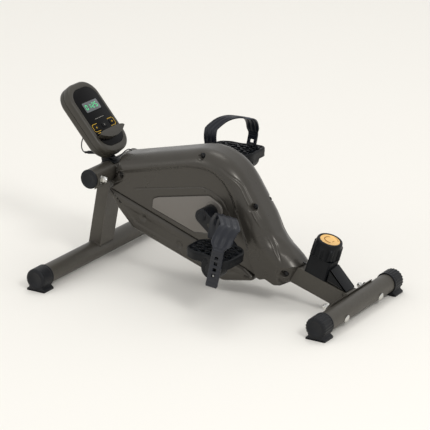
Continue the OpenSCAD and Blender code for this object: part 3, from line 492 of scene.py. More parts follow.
def join(name, parts):
    bpy.ops.object.select_all(action="DESELECT")
    for part in parts:
        part.select_set(True)
    bpy.context.view_layer.objects.active = parts[0]
    bpy.ops.object.join()
    parts[0].name = name
    parts[0].data.name = name
    return parts[0]


def addModifier(obj, kind, **settings):   # and apply it at once
    modifier = obj.modifiers.new(kind.lower(), kind)
    for key, value in settings.items():
        setattr(modifier, key, value)
    bpy.context.view_layer.objects.active = obj
    bpy.ops.object.modifier_apply(modifier=modifier.name)


def solid(obj, thick, offset=-1.0):
    addModifier(obj, "SOLIDIFY", thickness=thick * mm, offset=offset)


def dress(material, *names):   # CAD nodes that keep their shape
    for name in names:
        mesh = frame["nodes"][name].data
        mesh.materials.clear()
        mesh.materials.append(materials[material])


shroud = {
    "outline": [[22, -18, 5], [26, 55, 14], [266, 199, 116], [397, 91, 60], [426, 62, 30], [489, 34, 14],
                [506, 24, 4], [495, -23, 6], [469, -36, 14], [446, -32, 4], [436, -39, 6], [394, -30, 6],
                [265, -26, 60]],
    "halfWidth": 52, "tailWidth": 43, "tailFrom": 385, "tailTo": 470,
    "rimRound": 36, "panelDrop": 6.5, "seamRound": 2.5,
    "grooveWide": 1.1, "grooveDeep": 1.3, "ridgeHigh": 1.6, "dipDeep": 1.7, "bossRound": 8.6, "wellDeep": 7.0,
    "insertWide": 1.2, "insertDeep": 1.6, "scoopAt": (458, 50), "scoopSize": (40, 16), "scoopDeep": 5.0,
    "portRound": 17.5, "portDeep": 18, "around": 620, "inward": 110, "wall": 2.5, "wallSteps": 8,
}
screwSpots = [(47, 22), (222, 157), (371, 105), (484, -1)]
insertLine = [[144, -11, 3], [140, 10, 10], [152, 20, 10], [268, 84, 16], [313, 74, 18], [298, 4, 12],
              [257, -13, 6]]
wellFloors = {}   # depth of each screw well, found while the skin is pressed


def local(x, z):   # tube coordinates of a point measured from the front stabilizer and the floor
    p = tubeFrame.inverted() @ Vector((front.x + x * mm, 0, z * mm))
    return p.x / mm, p.z / mm


ridgeLine = [(*local(334, 289), 40), (*local(388, 256), 60), (*local(429, 190), 90), (*local(470, 130), 90),
             (*local(494, 92), 20)]
stepLine = [(*local(92, 229), 20), (*local(262, 271), 60), (*local(318, 274), 60), (*local(352, 252), 60),
            (*local(372, 222), 60), (*local(392, 170), 60), (*local(410, 120), 40)]
grooveLine = [(*local(116, 197), 10), (*local(306, 235), 60), (*local(352, 214), 50), (*local(372, 165), 40)]


# how far the near skin stands out from the middle plane, in mm, for points in tube coordinates
def shroudDepth(points, c, rimPath, outlinePath):
    s = points[:, 0]
    width = c["halfWidth"] - (c["halfWidth"] - c["tailWidth"]) * smooth(s, c["tailFrom"], c["tailTo"])
    toRim = gap(points, rimPath)
    toEdge = gap(points, outlinePath, True)
    step, ridge, groove = [roundedPath(line, False) for line in (stepLine, ridgeLine, grooveLine)]
    # the rim stands proud; inside the step line the panel lies lower
    drop = c["panelDrop"] * smooth(-signedSide(points, step) * gap(points, step), -9, 2)
    depth = width - drop
    # the outer rim is rounder than the seam
    rimPart = smooth(toRim - toEdge, 0, 14)
    radius = c["rimRound"] * (1 - rimPart) + c["seamRound"] * rimPart
    d = np.clip(toEdge, 0, radius)
    depth = depth - (radius - np.sqrt(np.maximum(radius ** 2 - (radius - d) ** 2, 0)))
    # a ridge with a dip beside it, then the fine grooves
    across = gap(points, ridge) * signedSide(points, ridge)
    run = s + 0.3 * (199 - points[:, 1])
    fade = smooth(run, 276, 306) * (1 - smooth(run, 505, 530))
    depth = depth + fade * c["ridgeHigh"] * np.exp(-((across + 1.8) / 1.7) ** 2)
    depth = depth - fade * c["dipDeep"] * np.exp(-((across - 1.6) / 1.6) ** 2)
    depth = depth - smooth(s, 84, 100) * c["grooveDeep"] * np.exp(-(gap(points, groove) / c["grooveWide"]) ** 2)
    toInsert = gap(points, roundedPath(insertLine), True)
    depth = depth - c["insertDeep"] * np.exp(-(toInsert / c["insertWide"]) ** 2)
    (scoopS, scoopH), (long, high) = c["scoopAt"], c["scoopSize"]
    scoop = np.hypot((s - scoopS) / long, (points[:, 1] - scoopH) / high)
    return depth - c["scoopDeep"] * (1 - smooth(scoop, 0.15, 1.0))


def shroudSkin(name, c, side, node):
    outlinePath = resample(roundedPath(c["outline"]), c["around"])
    corner = [i for i in range(len(c["outline"])) if c["outline"][i][0] == 495][0]
    rimPath = roundedPath([p for p in c["outline"][:corner + 1]], False)
    spine = np.array([(62, 6), (150, 24), (262, 48), (340, 38), (420, 16), (484, -2)], float)
    spine = resample(spine, 200, False)
    # every outline point is drawn to its nearest point of the spine
    apart = np.linalg.norm(outlinePath[:, None] - spine[None], axis=2)
    along = spine[apart.argmin(1)]
    rows = c["inward"]
    t = np.linspace(0, 1, rows) ** 1.15
    grid = outlinePath[None] + (along - outlinePath)[None] * t[:, None, None]
    depth = shroudDepth(grid.reshape(-1, 2), c, rimPath, outlinePath).reshape(rows, -1)
    count = c["wallSteps"]   # the wall runs from the middle plane out to the rim
    skin = [np.column_stack([outlinePath[:, 0], side * depth[0] * k / count, outlinePath[:, 1]]) * mm
            for k in range(count)]
    skin += [np.column_stack([grid[i][:, 0], side * depth[i], grid[i][:, 1]]) * mm for i in range(rows)]
    piece = loft(name, skin, "shroudPlastic", False, False, True, tubeFrame)
    drillBosses(piece, c, side)
    solid(piece, c["wall"], -1.0)
    sharpen(piece, 50)
    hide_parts(node)
    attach(piece, "frame")


def drillBosses(piece, c, side):   # screw wells and the crank port, pressed into the skin
    inverse = tubeFrame.inverted()
    mesh = piece.data
    co = np.empty(len(mesh.vertices) * 3)
    mesh.vertices.foreach_get("co", co)
    co = co.reshape(-1, 3)
    put = np.array(inverse)
    loc = (co @ put[:3, :3].T + put[:3, 3]) / mm
    for s, h in screwSpots:
        r = np.hypot(loc[:, 0] - s, loc[:, 2] - h)
        outer = (np.abs(loc[:, 1]) > 20) & (r < c["bossRound"] + 3)
        share = 1 - smooth(r, c["bossRound"] - 3.2, c["bossRound"] + 0.4)
        floor = float(np.median(np.abs(loc[outer & (r < 5), 1]))) - c["wellDeep"]
        wellFloors[(side, s)] = floor
        push = np.maximum(np.abs(loc[:, 1]) - floor, 0) * share
        loc[:, 1] -= np.where(outer, side * push, 0)
    centre = (inverse @ crankAt) / mm
    r = np.hypot(loc[:, 0] - centre.x, loc[:, 2] - centre.z)
    outer = (np.abs(loc[:, 1]) > 30) & (r < 24)
    loc[:, 1] -= np.where(outer, side * c["portDeep"] * (1 - smooth(r, c["portRound"], c["portRound"] + 4)), 0)
    back = np.array(tubeFrame)
    co = (loc * mm) @ back[:3, :3].T + back[:3, 3]
    mesh.vertices.foreach_set("co", co.ravel())
    mesh.update()
    # faces deep in the crank port get the dark recess colour: painted shade inside the hole
    mesh.materials.append(materials["paintedRecessShade"])
    deep = (r < c["portRound"] + 3) & (np.abs(loc[:, 1]) < 44.5) & (np.abs(loc[:, 1]) > 20)
    for face in mesh.polygons:
        if all(deep[v] for v in face.vertices):
            face.material_index = 1


shroudSkin("shroudSkinNear", shroud, -1, "shroud_near")
shroudSkin("shroudSkinFar", shroud, 1, "shroud_far")
print("shroud made")


def sideOut(matrix, side, level=0.0):   # local x, y stay in the side plane and local z runs outwards
    turn = Matrix(((1, 0, 0, 0), (0, 0, side, level * mm), (0, 1, 0, 0), (0, 0, 0, 1)))
    return matrix @ turn


def circle(x, y, radius, count=48):
    a = np.arange(count) * 2 * math.pi / count
    return np.column_stack([x + radius * np.cos(a), y + radius * np.sin(a)])


def rectangle(long, wide, radius, x=0.0, y=0.0, count=160):
    a, b = long / 2, wide / 2
    path = roundedPath([[x - a, y - b, radius], [x + a, y - b, radius], [x + a, y + b, radius],
                        [x - a, y + b, radius]])
    return resample(path, count)


def finishPiece(piece, body, slot, *nodes, angle=40):
    sharpen(piece, angle)
    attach(piece, body)
    if nodes:
        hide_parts(*nodes)
    return piece


def softPath(points, every=1.5):   # a smooth curve through the points, evenly spaced
    points = np.asarray(points, float)
    padded = np.vstack([2 * points[0] - points[1], points, 2 * points[-1] - points[-2]])
    out = []
    for i in range(1, len(padded) - 2):
        a, b, c, d = padded[i - 1:i + 3]
        steps = max(2, int(np.linalg.norm(c - b) / every))
        for k in range(steps):
            t = k / steps
            out.append(0.5 * (2 * b + (c - a) * t + (2 * a - 5 * b + 4 * c - d) * t * t
                              + (3 * b - a - 3 * c + d) * t ** 3))
    out.append(points[-1])
    return np.array(out)


def strip(name, path, wide, low, high, material, matrix):   # a flat band along a path in mm
    path = np.asarray(path, float)
    step = np.gradient(path, axis=0)
    step /= np.linalg.norm(step, axis=1)[:, None]
    normal = np.column_stack([-step[:, 1], step[:, 0]])
    left, right = path + normal * wide / 2, path - normal * wide / 2
    rings = [np.array([(*a, low), (*b, low), (*b, high), (*a, high)]) * mm for a, b in zip(left, right)]
    return loft(name, rings, material, True, True, True, matrix)


covers = {
    "outline": [[20, -18.8, 5], [57, -51, 20], [112, -81, 24], [354, -86, 26], [433, -44, 8], [394, -31, 6],
                [265, -27, 6]],
    "halfWidth": 48, "round": 9, "wall": 2.5, "holes": [(130, -44), (232, -58), (338, -58)],
    "holeDeep": 2.2, "panelDrop": 0.7, "spine": [(70, -38), (130, -58), (340, -60), (400, -46)], "inward": 29,
}


def makeCover(name, c, side, target):
    outline = resample(roundedPath(c["outline"]), 420)
    rings = [(outline, (c["halfWidth"] - c["round"]) * k / 5) for k in range(6)]
    rings += [(inset(outline, c["round"] * b), c["halfWidth"] - c["round"] * a) for a, b in quarter(8, 1)]
    flat = rings[-1][0]
    spine = resample(np.array(c["spine"], float), 160, False)
    drawn = spine[np.linalg.norm(flat[:, None] - spine[None], axis=2).argmin(1)]
    rings += [(flat + (drawn - flat) * (k / c["inward"]), c["halfWidth"]) for k in range(1, c["inward"] + 1)]
    skin = []
    for ring, out in rings:
        depth = np.full(len(ring), float(out))
        for s, h in c["holes"]:
            r = np.hypot(ring[:, 0] - s, ring[:, 1] - h)
            depth -= c["holeDeep"] * (1 - smooth(r, 5.5, 9)) * (out > c["halfWidth"] - 1)
        if out > c["halfWidth"] - 1:
            depth -= c["panelDrop"] * smooth(gap(ring, flat, True), 6, 12)
        skin.append(np.column_stack([ring[:, 0], side * depth, ring[:, 1]]) * mm)
    piece = loft(name, skin, "shroudPlastic", False, False, True, tubeFrame)
    solid(piece, c["wall"], -1.0)
    finishPiece(piece, "frame", "shroud_plastic", target, angle=50)


for side, word in sides:
    makeCover("lowerCover" + word.title(), covers, side, "lower_cover_" + word)

inserts = {"low": 43.6, "high": 46.9, "port": 19.0}


def makeInsert(name, c, side, target):
    outline = inset(resample(roundedPath(insertLine), 360), 0.5)
    place = sideOut(tubeFrame, side)
    piece = slab(name, outline, c["low"], c["high"], "insertPlastic", place, 0.8, 4, 0.2)
    port = revolve("portCutter", [(0, 30), (c["port"], 30), (c["port"], 60), (0, 60)], "paintedRecessShade",
                   lathe(crankAt, (0, side, 0)), 64)
    addModifier(piece, "BOOLEAN", object=port, solver="EXACT")
    bpy.data.objects.remove(port, do_unlink=True)
    lip = revolve(name + "Lip", [(c["port"] - 0.2, 46.5), (c["port"] + 0.2, 47.3), (c["port"] + 1.3, 47.5),
                                 (c["port"] + 2.2, 46.8)], "insertPlastic", lathe(crankAt, (0, side, 0)), 72)
    solid(lip, 0.8, -1.0)
    sharpen(piece, 40)
    finishPiece(join(name, [piece, lip]), "frame", "insert_plastic", target)


for side, word in sides:
    makeInsert("insert" + word.title(), inserts, side, "insert_" + word)

screws = {"head": 5.6, "high": 3.2, "slot": 7.0}


def makeScrews(c):
    parts = []
    for side in (-1, 1):
        for s, h in screwSpots:
            place = lathe(onTube(s, h), (0, side, 0))
            floor = wellFloors[(side, s)] - 0.4
            r, high = c["head"], c["high"]
            profile = raised(floor, (0, 0), (r, 0), (r, 1.4), (r - 1.2, 2.6), (r - 3, high), (0, high))
            parts.append(revolve("screw", profile, "crankBlack", place, 32))
            # each cross slot is a thin dark slab: painted shade in the slot
            for turn in (0.4, 0.4 + math.pi / 2):
                parts.append(slab("cross", rectangle(c["slot"], 1.3, 0.5, count=24), floor + 3.0, floor + 3.35,
                                   "paintedRecessShade", place @ Matrix.Rotation(turn, 4, "Z"), 0.1, 1))
    finishPiece(join("coverScrewHeads", parts), "frame", "black_steel", "cover_screws")


makeScrews(screws)
print("covers, inserts and screws made")

caps = {"sleeve": 24.0, "inner": 21.2, "long": 34.0, "face": 4.0, "scallops": 22, "footWide": 46.0,
        "neck": 32.0, "teeth": 7, "footLong": 33.0}


def footOutline(c):
    half, count = c["footWide"] / 2, c["teeth"]
    step = c["footWide"] / (2 * count + 1)
    points = [[-half, 4.4, 1.0], [-half, 0, 0.3]]
    for i in range(count):
        x = -half + step * (2 * i + 1)
        points += [[x, 0, 0.3], [x + 0.4, 2.0, 0.3], [x + step - 0.4, 2.0, 0.3], [x + step, 0, 0.3]]
    points += [[half, 0, 0.3], [half, 4.4, 1.0], [c["neck"] / 2 + 1, 8.4, 3.0], [c["neck"] / 2 + 1, 14, 1],
               [-c["neck"] / 2 - 1, 14, 1], [-c["neck"] / 2 - 1, 8.4, 3.0]]
    return roundedPath(points, True, 0.8)


def endCap(name, c, centre, half, side, scalloped):
    place = lathe(Vector((centre.x, side * (half - c["face"] * mm), centre.z)), (0, side, 0))
    r = c["sleeve"]
    profile = [(c["inner"], -c["long"]), (r - 0.6, -c["long"]), (r, -c["long"] + 0.8), (r, -c["long"] + 4.0),
               (r - 0.7, -c["long"] + 4.6), (r - 0.7, -c["long"] + 5.6), (r, -c["long"] + 6.2)]
    profile += [(r, -c["long"] + 6.2 + k * (c["long"] - 7) / 14) for k in range(1, 15)]
    profile += [(r - 0.5, 1.2), (r - 1.6, 2.6), (r - 3.4, 3.6), (r - 6, 4.0), (r - 9, 4.0), (r - 9.6, 3.3),
                (0, 3.3)]

    def wave(a, radius, z):
        if radius < r - 3.5 or z < -c["long"] + 6:
            return radius
        if scalloped:
            return radius - 1.1 * (0.5 + 0.5 * math.cos(a * c["scallops"])) ** 1.5
        return radius - 0.35 * (0.5 + 0.5 * math.cos(a * c["scallops"] * 2))
    sleeve = revolve(name, profile, "capBlack", place, 220, wave)
    foot = slab(name + "Foot", footOutline(c), -c["footLong"], c["face"] - 1.5, "capBlack",
                sideOut(Matrix.Translation((centre.x, side * (half - c["face"] * mm), 0)), side), 0.9, 3)
    lines = [foot, sleeve]
    for k in (-1, 1):
        lines.append(slab(name + "Rib", rectangle(3.0, 12.0, 1.2, k * 15.0, 8.2, 24), -c["footLong"] + 4,
                          c["face"] - 3, "capBlack",
                          sideOut(Matrix.Translation((centre.x, side * (half - c["face"] * mm), 0)), side),
                          0.8, 2))
    return lines


frontHalf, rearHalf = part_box("front_end_caps")[1].y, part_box("rear_end_caps")[1].y
for label, centre, half, scalloped, target in (("frontCaps", front, frontHalf, False, "front_end_caps"),
                                               ("rearCaps", rear, rearHalf, True, "rear_end_caps")):
    parts = []
    for side in (-1, 1):
        parts += endCap(label, caps, centre, half, side, scalloped)
    finishPiece(join(label, parts), "frame", "cap_plastic", target, angle=50)

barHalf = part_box("bar_end_caps")[1].y
parts = []
for side in (-1, 1):
    place = lathe(Vector((bar.x, side * (barHalf - 4 * mm), bar.z)), (0, side, 0))
    parts.append(revolve("barCap",
                         [(18.8, -8), (18.8, 0), (21.6, 0), (21.7, 1.6), (21.2, 2.8), (20, 3.7), (18, 4.0),
                                    (12, 4.0), (11.4, 3.4), (4, 3.3), (0, 3.3)], "capBlack", place, 96))
finishPiece(join("barCaps", parts), "frame", "cap_plastic", "bar_end_caps", angle=50)

bolts = {"pitch": 74.0, "tube": 21.0, "head": 9.0, "nutFrom": 26.7, "hex": 7.5, "nutHigh": 6.5}


def hexWave(flat):
    def wave(a, radius, z):
        if radius < flat - 1.2:
            return radius
        part = (a + math.pi / 6) % (math.pi / 3) - math.pi / 6
        return radius * math.cos(math.pi / 6) / math.cos(part)
    return wave


def makeFasteners(c):
    heads, nuts, marks = [], [], []
    for centre, along in ((bar, Vector((1, 0, 0))), (rear, tubeFrame.to_3x3() @ Vector((-1, 0, 0)))):
        for side in (-1, 1):
            at = Vector((centre.x, side * c["pitch"] * mm, centre.z))
            back, ahead = lathe(at, -along), lathe(at, along)
            t = c["tube"]
            heads.append(revolve("boltHead",
                                 [(c["head"] - 0.4, t - 0.3), (c["head"], t + 0.5), (c["head"] - 0.7, t + 1.6),
                                              (c["head"] - 2.6, t + 3.0), (c["head"] - 5.2, t + 4.0),
                                              (0, t + 4.4)], "brightZinc", back, 48))
            heads.append(revolve("boltShank", [(0, -c["nutFrom"] - 5), (4, -c["nutFrom"] - 5), (4, t), (0, t)],
                                 "brightZinc", back, 24))
            n = c["nutFrom"]
            nuts.append(revolve("nut", [(0, n), (c["hex"] - 0.7, n), (c["hex"], n + 0.6),
                                        (c["hex"], n + c["nutHigh"] - 1.2),
                                        (c["hex"] - 0.9, n + c["nutHigh"] - 0.3)], "brightZinc", ahead, 72,
                                hexWave(c["hex"])))
            dome = [(6.3 * math.cos(a), n + c["nutHigh"] - 0.4 + 6.3 * math.sin(a))
                    for a in np.linspace(0, math.pi / 2, 10)]
            nuts.append(revolve("dome", [(6.5, n + c["nutHigh"] - 0.9)] + dome[:-1] + [(0, dome[-1][1])],
                                "brightZinc", ahead, 40))
    finishPiece(join("boltHeads", heads), "frame", "bright_zinc", "carriage_bolts")
    finishPiece(join("domeNutCaps", nuts), "frame", "bright_zinc", "dome_nuts", angle=30)


makeFasteners(bolts)


def bead(name, points, radius=1.7):   # a hand-laid weld, lumpy along its run
    path = softPath(points, 1.2)
    wobble = radius * (1 + 0.16 * np.sin(np.arange(len(path)) * 2.1)
                       + 0.08 * np.random.default_rng(3).normal(size=len(path)))
    return tube(name, path * mm, wobble * mm, "framePaint", 10)


def makeWelds():
    parts = []
    axis = (bar - front).normalized()
    across = Vector((0, 1, 0)).cross(axis)
    for centre, way in ((front, 1), (bar, -1)):
        loop = []
        for dx, dy in rectangle(30, 54, 3, count=60):
            rise = math.sqrt(max(21.0 ** 2 - dx ** 2, 0))
            p = centre / mm + across * dx + Vector((0, dy, 0)) + axis * way * rise
            loop.append(tuple(p))
        parts.append(bead("postWeld", loop + [loop[0]]))
    for edge in (-19.5, 19.5):
        for s0, s1 in ((20, 25), (tubeRun / mm - 27, tubeRun / mm - 18)):
            a, b = onTube(s0, 18, edge) / mm, onTube(s1, -18, edge) / mm
            parts.append(bead("tubeWeld", [tuple(a), tuple((a + b) / 2), tuple(b)], 1.9))
    finishPiece(join("welds", parts), "frame", "frame_paint")


makeWelds()
print("caps, fasteners and welds made")

housing = {"middle": 544.0, "long": 54.0, "wide": 42.0, "low": 20.6, "high": 65.0, "wedgeEnd": 622.0,
           "wedgeTop": 52.0}


def makeHousing(c):
    box = slab("housingBox", rectangle(c["long"], c["wide"], 6, c["middle"], 0), c["low"], c["high"] - 1.4,
               "softBlack", tubeFrame, 1.0, 3)
    lid = slab("housingLid", rectangle(c["long"] + 1.6, c["wide"] + 1.6, 6.6, c["middle"], 0), c["high"] - 1.6,
               c["high"] + 0.6, "softBlack", tubeFrame, 0.9, 3)
    foot = slab("housingFoot", rectangle(c["long"] + 1.0, c["wide"] + 0.6, 6, c["middle"], 0), c["low"] - 0.1,
                c["low"] + 2.2, "softBlack", tubeFrame, 0.6, 2)
    start = c["middle"] + c["long"] / 2
    wedge = slab("housingWedge",
                 roundedPath([[start - 1, 20.6, 0.5], [c["wedgeEnd"], 20.6, 0.5], [c["wedgeEnd"], 23, 1],
                                              [start + 4, c["wedgeTop"], 4], [start - 1, c["wedgeTop"], 0.5]],
                             True, 1.0),
                 -18.5, 18.5, "softBlack", sideOut(tubeFrame, -1), 3.0, 4)
    parts = [box, lid, foot, wedge]
    # a thin dark line along each side of the wedge: painted shade of a groove
    for side in (-1, 1):
        parts.append(strip("wedgeLine", [(start + 3, 26), (c["wedgeEnd"] - 12, 24)], 1.0, 18.3, 18.9,
                           "paintedRecessShade", sideOut(tubeFrame, side)))
    finishPiece(join("knobHousing", parts), "frame", "black_plastic", "knob_housing")


makeHousing(housing)

knob = {"round": 29.0, "lobe": 4.6, "high": 39.0, "lobes": 8, "disc": 21.5}
knobFrame = lathe(onTube(housing["middle"], 66.0), tubeFrame.to_3x3() @ Vector((0, 0, 1)))


def makeKnob(c):
    r, top = c["round"], c["high"]

    def wave(a, radius, z):
        if radius < r - 3:
            return radius
        lobe = max(0.0, math.cos(a * c["lobes"])) ** 0.55
        fade = smooth(z, 1.5, 4) * (1 - smooth(z, top - 16, top - 8))
        return radius + c["lobe"] * lobe * float(fade)
    profile = [(9.5, -9.5), (9.5, 0), (r - 4, 0), (r - 1.2, 0.8), (r + 0.4, 2.2)]
    profile += [(r + 0.4 - 0.035 * (z - 2.2), z) for z in np.linspace(3.5, top - 5, 26)]
    profile += [(r - 1.0, top - 4.0), (r - 1.3, top - 2.2), (r - 2.2, top - 0.8), (r - 3.4, top - 0.1),
                (c["disc"] + 1.2, top), (c["disc"] + 0.5, top - 0.4), (c["disc"] + 0.3, top - 2), (0, top - 2)]
    body = revolve("tensionKnob", profile, "softBlack", knobFrame, 300, wave)
    finishPiece(body, "knob", "black_plastic", "tension_knob", angle=50)
    disc = revolve("goldDisc", [(c["disc"], top - 2), (c["disc"], top - 0.9), (c["disc"] - 0.5, top - 0.55),
                                (c["disc"] - 1.6, top - 0.45), (c["disc"] - 2.0, top - 0.7), (0, top - 0.6)],
                   "goldFoil", knobFrame, 96)
    marks = [disc]
    for a0, a1, rr, wide in ((30, 215, 12.0, 2.0), (-60, 0, 17.5, 1.2), (240, 285, 8.5, 1.5)):
        angles = np.radians(np.linspace(a0, a1, 26))
        marks.append(strip("discMark", np.column_stack([rr * np.cos(angles), rr * np.sin(angles)]), wide,
                           top - 0.7, top - 0.38, "goldPrint", knobFrame))
    finishPiece(join("knobDisc", marks), "knob", "gold_disc", "knob_disc")


makeKnob(knob)
print("knob made")

tilt = math.atan2(-buttonAxis.x, -buttonAxis.z)
consoleFrame = Matrix.Translation(bar + Vector((-48 * mm, 0, 104 * mm))) @ Matrix.Rotation(tilt, 4, "Y")
console = {
    "long": 178.0, "wide": 106.0, "thick": 33.0, "round": 40.0, "backRound": (7.5, 8.5),
    "frontRound": (6.0, 7.5), "panelLong": 146.0, "panelWide": 84.0, "panelRound": 30.0, "ventAt": 52,
    "ventPitch": 4.4, "lcd": (-27.0, 24.0, 54.0), "digit": (5.4, 6.2), "buttonU": 23.0, "pitch": 29.0,
    "button": (12.0, 15.0), "markReach": 2.2,
    "shelfAt": -22.0, "shelfRound": 80.0, "shelfArc": 35.0, "shelfHigh": 13.0, "shelfWide": 21.0,
}


def consoleOutline(c):
    return c["thick"] / 2, rectangle(c["long"], c["wide"], c["round"], count=320)


def makeConsoleBack(c):
    half, outer = consoleOutline(c)
    inward, deep = c["backRound"]
    rings = [(inset(outer, inward * a), -half + deep * b) for a, b in quarter(8)]
    rings += [(outer, -1.2), (inset(outer, 0.3), -0.5), (inset(outer, 0.9), -0.3)]
    parts = [loft("consoleBack", layers(rings), "consolePlastic", True, True, True, consoleFrame)]
    # the vent slots are thin dark slabs on the back: painted shade in the openings
    for k in range(-3, 4):
        slot = rectangle(2.0, 30.0, 0.9, c["ventAt"] + k * c["ventPitch"], 0, 32)
        parts.append(slab("vent", slot, -half - 0.25, -half + 0.4, "paintedRecessShade", consoleFrame, 0.2, 1))
    finishPiece(join("consoleBack", parts), "frame", "shroud_plastic", "console_back", angle=45)


def facePlan(c):
    return rectangle(c["panelLong"], c["panelWide"], c["panelRound"], count=320)


def makeConsoleFront(c):
    half, outer = consoleOutline(c)
    panel, (inward, deep) = facePlan(c), c["frontRound"]
    rings = [(inset(outer, 0.9), 0.3), (inset(outer, 0.3), 0.5), (outer, 1.2), (outer, half - 8.5)]
    rings += [(inset(outer, inward * b), half - deep * a - 0.4) for a, b in quarter(8, 1)]
    rings += [(inset(outer, 8.6), half + 0.05), (inset(panel, -1.0), half + 0.1),
              (inset(panel, -0.5), half - 0.2), (inset(panel, -0.4), half - 1.7)]
    piece = loft("consoleFront", layers(rings), "consolePlastic", True, True, True, consoleFrame)
    finishPiece(piece, "frame", "shroud_plastic", "console_front", angle=45)


def makeFace(c):   # the glossy panel with its printed lines
    half = c["thick"] / 2
    u, long, wide = c["lcd"]
    bu, barU = c["buttonU"], c["buttonU"] + 13.5
    border = rectangle(long + 5, wide + 5, 3, u, 0, 96)
    parts = [slab("facePanel", facePlan(c), half - 1.7, half - 0.05, "faceGloss", consoleFrame, 0.5, 3, 0.1),
             slab("lcdBezel", border, half - 0.3, half + 0.15, "faceGloss", consoleFrame, 0.4, 2)]

    def printed(name, points, broad, high, colour):
        parts.append(strip(name, points, broad, half - 0.2, half + high, colour, consoleFrame))

    for k in (-1, 1):   # outlines of the outer buttons, open towards the middle
        v = k * c["pitch"]
        path = roundedPath([[bu - 9, v - k * 9, 1], [bu - 9, v + k * 10.5, 5], [bu + 9, v + k * 10.5, 5],
                            [bu + 9, v - k * 9, 1]], False, 1.0)
        printed("outline", path, 0.9, 0.12, "yellowPrint")
        printed("bar", [(barU, v - 5), (barU, v + 5)], 1.2, 0.1, "yellowPrint")
    printed("bar", [(barU, -3.5), (barU, 3.5)], 1.2, 0.1, "yellowPrint")
    printed("bar", [(4, -16), (4, 16)], 0.5, 0.08, "whitePrint")
    finishPiece(join("facePanel", parts), "frame", "face_gloss", "face_panel")


def makeDisplay(c):   # generic digits of seven segments
    half = c["thick"] / 2
    u, long, wide = c["lcd"]
    high, broad = c["digit"]
    parts = [slab("lcd", rectangle(long, wide, 2, u, 0, 80), half - 1.5, half + 0.25, "lcdGrey", consoleFrame,
                  0.3, 2)]
    segments = {"0": "abcdef", "1": "bc", "2": "abged", "5": "afgcd"}
    spots = {"a": ((-1, -0.5), (-1, 0.5)), "b": ((-1, 0.5), (0, 0.5)), "c": ((0, 0.5), (1, 0.5)),
             "d": ((1, -0.5), (1, 0.5)), "e": ((0, -0.5), (1, -0.5)), "f": ((-1, -0.5), (0, -0.5)),
             "g": ((0, -0.5), (0, 0.5))}
    for digit, v in zip("0125", (-18.0, -8.0, 6.0, 16.0)):
        for letter in segments[digit]:
            a, b = [np.array((u + du * high, v + dv * broad)) for du, dv in spots[letter]]
            trim = (b - a) * 0.12
            parts.append(strip("segment", [a + trim, b - trim], 0.95, half + 0.1, half + 0.4, "glowGreen",
                               consoleFrame))
    for du in (-2.2, 2.2):
        parts.append(slab("colon", circle(u + du, -1.0, 0.8, 16), half + 0.1, half + 0.4, "glowGreen",
                          consoleFrame, 0.1, 1))
    finishPiece(join("displayWindow", parts), "frame", "display", "display_window")


def makeButtons(c):   # a plus mark on the outer two, a dash on the middle one
    half = c["thick"] / 2
    (long, wide), u, reach = c["button"], c["buttonU"], c["markReach"]
    for k, body in ((-1, "button_left"), (0, "button_middle"), (1, "button_right")):
        v = k * c["pitch"]
        dot = [slab(body + "Cap", rectangle(long, wide, 3, u, v, 64), half - 4.6, half + 1.4, "buttonRubber",
                    consoleFrame, 1.3, 4, 0.1)]
        lines = [[(u - reach, v), (u + reach, v)]] + ([[(u, v - reach), (u, v + reach)]] if k else [])
        for line in lines:
            dot.append(strip("mark", line, 0.9, half + 1.2, half + 1.5, "yellowPrint" if k else "whitePrint",
                             consoleFrame))
        finishPiece(join(body + "Cap", dot), body, "button_rubber", body)


for make in (makeConsoleBack, makeConsoleFront, makeFace, makeDisplay, makeButtons):
    make(console)


def makeShelf(c):
    half = c["thick"] / 2
    angles = np.radians(np.linspace(-c["shelfArc"], c["shelfArc"], 61))
    share = np.sqrt(np.maximum(1 - (angles / angles[-1]) ** 2, 0.0))
    outerR = np.full(61, c["shelfRound"])

    def arc(radius):
        return np.column_stack([c["shelfAt"] + radius * np.cos(angles), radius * np.sin(angles)])

    wall = np.vstack([arc(outerR), arc(outerR - 1.2 - 2.2 * share)[::-1]])
    lip = np.vstack([arc(outerR + 0.2), arc(outerR - 1.5 - (c["shelfWide"] - 1.5) * share ** 1.2)[::-1]])
    base = slab("shelfWall", wall, half - 0.4, half + c["shelfHigh"] - 1, "consolePlastic", consoleFrame, 0.3,
                2)
    top = slab("shelfLip", lip, half + c["shelfHigh"] - 4.2, half + c["shelfHigh"], "consolePlastic",
               consoleFrame, 0.7, 3)
    pad = np.vstack([arc(outerR - 2.4 - 1.0 * share),
                     arc(outerR - 3.0 - (c["shelfWide"] - 7) * share ** 1.3)[::-1]])
    grip = slab("shelfPad", pad, half + c["shelfHigh"] - 4.9, half + c["shelfHigh"] - 4.0, "buttonRubber",
                consoleFrame, 0.2, 1)
    finishPiece(join("phoneShelf", [base, top, grip]), "frame", "shroud_plastic", "phone_shelf")


makeShelf(console)


